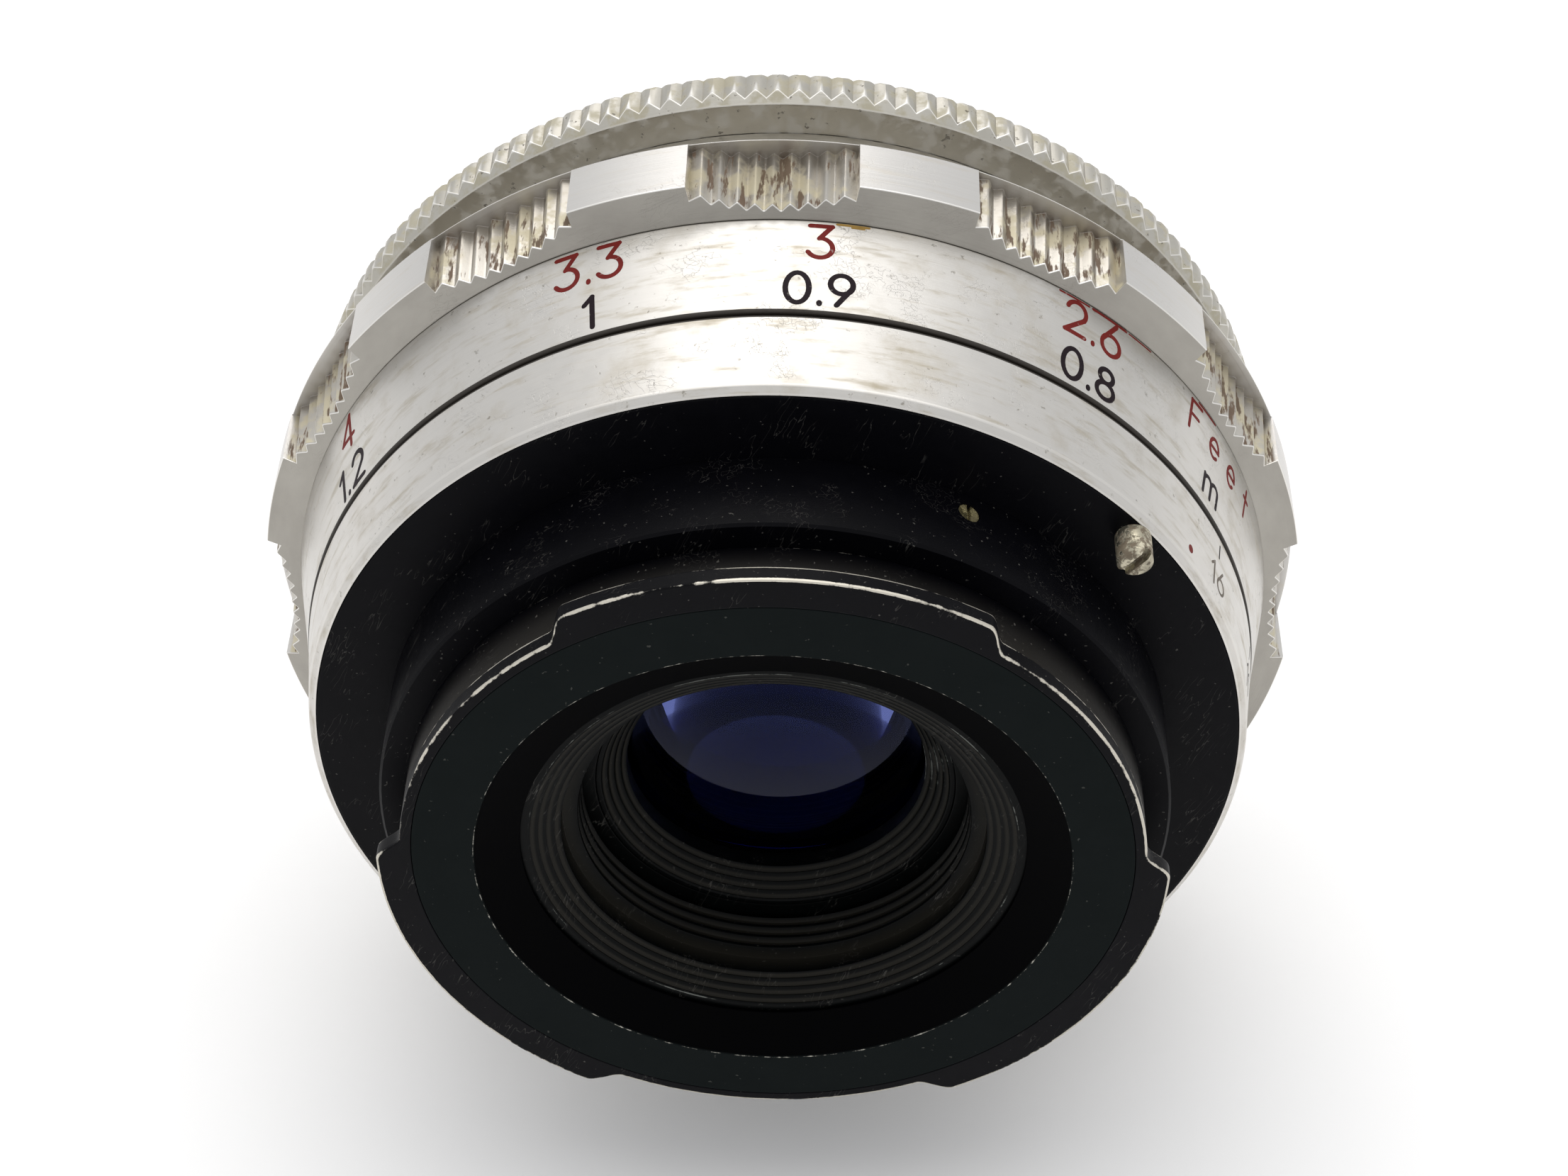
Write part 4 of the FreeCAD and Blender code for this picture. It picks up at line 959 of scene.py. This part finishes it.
def on_cone(node, angle, centre_y):
    """Mapper onto the outer cone of a turned ring at an angle in degrees."""
    outline = section(node, PLAIN_CUT)
    k = max(range(len(outline)), key=lambda i: outline[i][0])
    high = outline[k]
    beside = (outline[k - 1], outline[(k + 1) % len(outline)])
    low = min(beside, key=lambda p: abs(p[0] - high[0]) + (99 if p[1] >= high[1] else 0))

    def place(u, v, lift):
        y = centre_y + v
        r = low[0] + (high[0] - low[0]) * (y - low[1]) / (high[1] - low[1])
        a = math.radians(angle) + u / r
        r += lift
        return (r * math.sin(a) * MM, y * MM, r * math.cos(a) * MM)

    return place


def marks(name, body, material, items):
    """One piece of several texts: (text, height, half width, mapper)."""
    verts, faces = [], []
    for text, height, half, place in items:
        add_text((verts, faces), text, height, half, place)
    piece = new_object(name, verts, faces)
    finish_piece(piece, body, SLOT_OF["distance_scale_ring"], material)


INFINITY_ANGLE = 120.0
FOCUS_TURN = 278.0
LAW_SCALE, LAW_OFFSET = 1.3333, 0.05     # of the law that spaces the distances, in metres
DISTANCES = (          # metres, and what stands there on the metre and the foot scale
    (0.8, "0.8", "2.6"), (0.9, "0.9", "3"), (1.0, "1", "3.3"), (1.2, "1.2", "4"), (1.5, "1.5", "5"),
    (2.0, "2", "7"), (3.0, "3", "10"), (5.0, "5", "15"), (10.0, "10", "30"),
)
SMEAR_RADIUS = 29.0    # of the cone where the smears lie


def scale_angle(metres):
    """Where a distance stands on the ring at rest; the ring turns 278 degrees down to 0.8 m."""
    return INFINITY_ANGLE - 360 + FOCUS_TURN / (LAW_SCALE * (metres - LAW_OFFSET))


def smears(name, material, ring, rows):
    """Thin smears that run around the turning ring: (start, end, y, half width)."""
    items = []
    for start, end, y, width in rows:
        place = on_cone(ring, (start + end) / 2, y)
        length = math.radians(end - start) * SMEAR_RADIUS
        items.append(("|", length, width, lambda u, v, lift, place=place: place(v, u, lift)))
    marks(name, "focus_ring", material, items)


def distance_scale():
    """Metres and feet on the turning ring, with remains of red paint and varnish at its front edge."""
    ring = "distance_scale_ring"
    metres = [(m, 2.05, 0.18, on_cone(ring, scale_angle(d), 7.3)) for d, m, _ in DISTANCES]
    metres += [("i", 2.2, 0.17, on_cone(ring, INFINITY_ANGLE, 7.35)),
               ("m", 1.95, 0.15, on_cone(ring, 60.9, 7.6))]
    marks("scale_numbers_metres", "focus_ring", METRE_PAINT, metres)
    feet = [(f, 2.2, 0.165, on_cone(ring, scale_angle(d), 10.55)) for d, _, f in DISTANCES]
    feet += [(c, 2.0, 0.14, on_cone(ring, a, 10.6)) for c, a in zip("Feet", (55.7, 60.4, 65.2, 70.3))]
    marks("scale_numbers_feet", "focus_ring", FEET_PAINT, feet)
    smears("scale_red_residue", FEET_PAINT, ring, (
        (33, 37, 11.86, 0.07), (37.6, 42.5, 11.86, 0.10), (43, 46.5, 11.86, 0.06), (56, 59.8, 11.86, 0.08)))
    smears("scale_varnish", OLD_VARNISH, ring, ((7.0, 10.4, 11.87, 0.09), (8.6, 9.9, 11.74, 0.07)))


STOPS = ("2.8", "4", "5.6", "8", "11", "16")
DEPTH_SPREAD = 55      # degrees from the index to the depth mark for 16
STOP_ANGLE, STOP_PITCH = 30, 7.5     # degrees; the first f-number and the step to the next


def fixed_marks():
    """Index, depth-of-field marks and the mounting dot on the ring that stays still."""
    ring = "depth_scale_ring"
    ticks, numbers, faint = [], [], []
    for stop in STOPS[1:]:
        offset = DEPTH_SPREAD * float(stop) / 16
        for side in (-1, 1):
            angle = INFINITY_ANGLE + side * offset
            ticks.append(("|", 0.9, 0.075, on_cone(ring, angle, 4.3)))
            target = faint if stop == "16" else numbers
            target.append((stop, 1.6, 0.10, on_cone(ring, angle, 2.3)))
    ticks.append(("|", 2.6, 0.13, on_cone(ring, INFINITY_ANGLE, 3.4)))
    marks("depth_marks", "mount", METRE_PAINT, ticks)
    marks("depth_numbers", "mount", METRE_PAINT, numbers)
    marks("depth_numbers_worn", "mount", FAINT_PAINT, faint)
    dot = [("|", 0.02, 0.27, on_cone(ring, 57.6, 1.42))]
    marks("mount_dot", "mount", FEET_PAINT, dot)


def front_marks():
    """f-numbers on the rim's flange face and an index dot on the knurled ring, seen from the front."""
    rim = Span("front_rim")

    def on_face(angle, radius, y):
        def place(u, v, lift):
            a = math.radians(angle) - u / radius
            r = radius + v
            return (r * math.sin(a) * MM, (y + lift) * MM, r * math.cos(a) * MM)
        return place

    stops = [(text, 1.25, 0.085, on_face(STOP_ANGLE + STOP_PITCH * i, 26.0, rim.y1))
             for i, text in enumerate(STOPS)]
    marks("aperture_numbers", "lens_unit", WHITE_PAINT, stops)
    knob = Span("aperture_grip")
    dot = [("|", 0.02, 0.36, on_face(STOP_ANGLE, 28.3, knob.y1))]
    marks("aperture_index", "aperture_ring", FEET_PAINT, dot)


turned_pieces()
bayonet()
grip()
knurl()
for node, (rear, front) in CURVES.items():
    lens_glass(node, rear, front)
distance_scale()
fixed_marks()
front_marks()


# --- floor, light and camera --------------------------------------------------------------
FLOOR_HALF = 1.5       # metres


def floor():
    """White paper floor under the lens."""
    low = cad_bounds[0][2]
    corners = [(x * FLOOR_HALF, y * FLOOR_HALF, low) for x, y in ((-1, -1), (1, -1), (1, 1), (-1, 1))]
    mesh = bpy.data.meshes.new("floor")
    mesh.from_pydata(corners, [], [(0, 1, 2, 3)])
    piece = bpy.data.objects.new("floor", mesh)
    bpy.context.scene.collection.objects.link(piece)
    s = Shader("floor_look")
    s.bump(s.noise(1.2, 4.0), 0.01 * MM)
    s.surface.inputs["Specular IOR Level"].default_value = 0.2
    white = s.blend(s.noise(0.02, 2.0), (0.95, 0.945, 0.94), (0.97, 0.965, 0.96))
    mesh.materials.append(s.finish(white, 0.7))


def area_light(name, place, target, size, power, colour):
    lamp = bpy.data.lights.new(name, "AREA")
    lamp.shape = "DISK"
    lamp.size = size
    lamp.energy = power
    lamp.color = colour
    holder = bpy.data.objects.new(name, lamp)
    holder.location = place
    holder.rotation_euler = (Vector(target) - Vector(place)).to_track_quat("-Z", "Y").to_euler()
    bpy.context.scene.collection.objects.link(holder)


LENS_MIDDLE = (0, 0.01, 0)     # what both lamps point at, in metres


def studio_light():
    """A bright white surround, a large soft lamp overhead and a smaller one behind."""
    world = bpy.data.worlds.new("studio")
    world.use_nodes = True
    background = world.node_tree.nodes["Background"]
    background.inputs["Color"].default_value = (0.97, 0.98, 1.0, 1.0)
    background.inputs["Strength"].default_value = 0.86
    bpy.context.scene.world = world
    area_light("overhead", (0.0, 0.12, 0.60), LENS_MIDDLE, 0.80, 1.75, (1.0, 0.985, 0.965))
    area_light("back", (-0.05, 0.42, 0.42), LENS_MIDDLE, 0.35, 0.45, (1.0, 0.97, 0.94))


CAMERA_PLACE = (5.33, -127.24, 132.69)           # millimetres
CAMERA_RIGHT = (0.99963, 0.02214, -0.01569)
CAMERA_UP = (-0.00376, 0.68558, 0.72798)
CAMERA_FORWARD = (-0.02687, 0.72766, -0.68542)
FOCAL_LENGTH = 72.9                              # millimetres, on a sensor 36 mm wide


def camera():
    """The camera that was fitted to the photograph."""
    optics = bpy.data.cameras.new("camera")
    optics.lens = FOCAL_LENGTH
    optics.sensor_width = 36.0
    optics.sensor_fit = "HORIZONTAL"
    optics.clip_start = 0.005
    eye = bpy.data.objects.new("camera", optics)
    axes = (Vector(CAMERA_RIGHT), Vector(CAMERA_UP), -Vector(CAMERA_FORWARD))
    turn = Matrix(axes).transposed().to_4x4()
    turn.translation = Vector(CAMERA_PLACE) * MM
    eye.matrix_world = turn
    bpy.context.scene.collection.objects.link(eye)
    bpy.context.scene.camera = eye
    bpy.context.scene.view_settings.view_transform = "Standard"


floor()
studio_light()
camera()


def plain(box):
    return [[float(c) for c in corner] for corner in box]
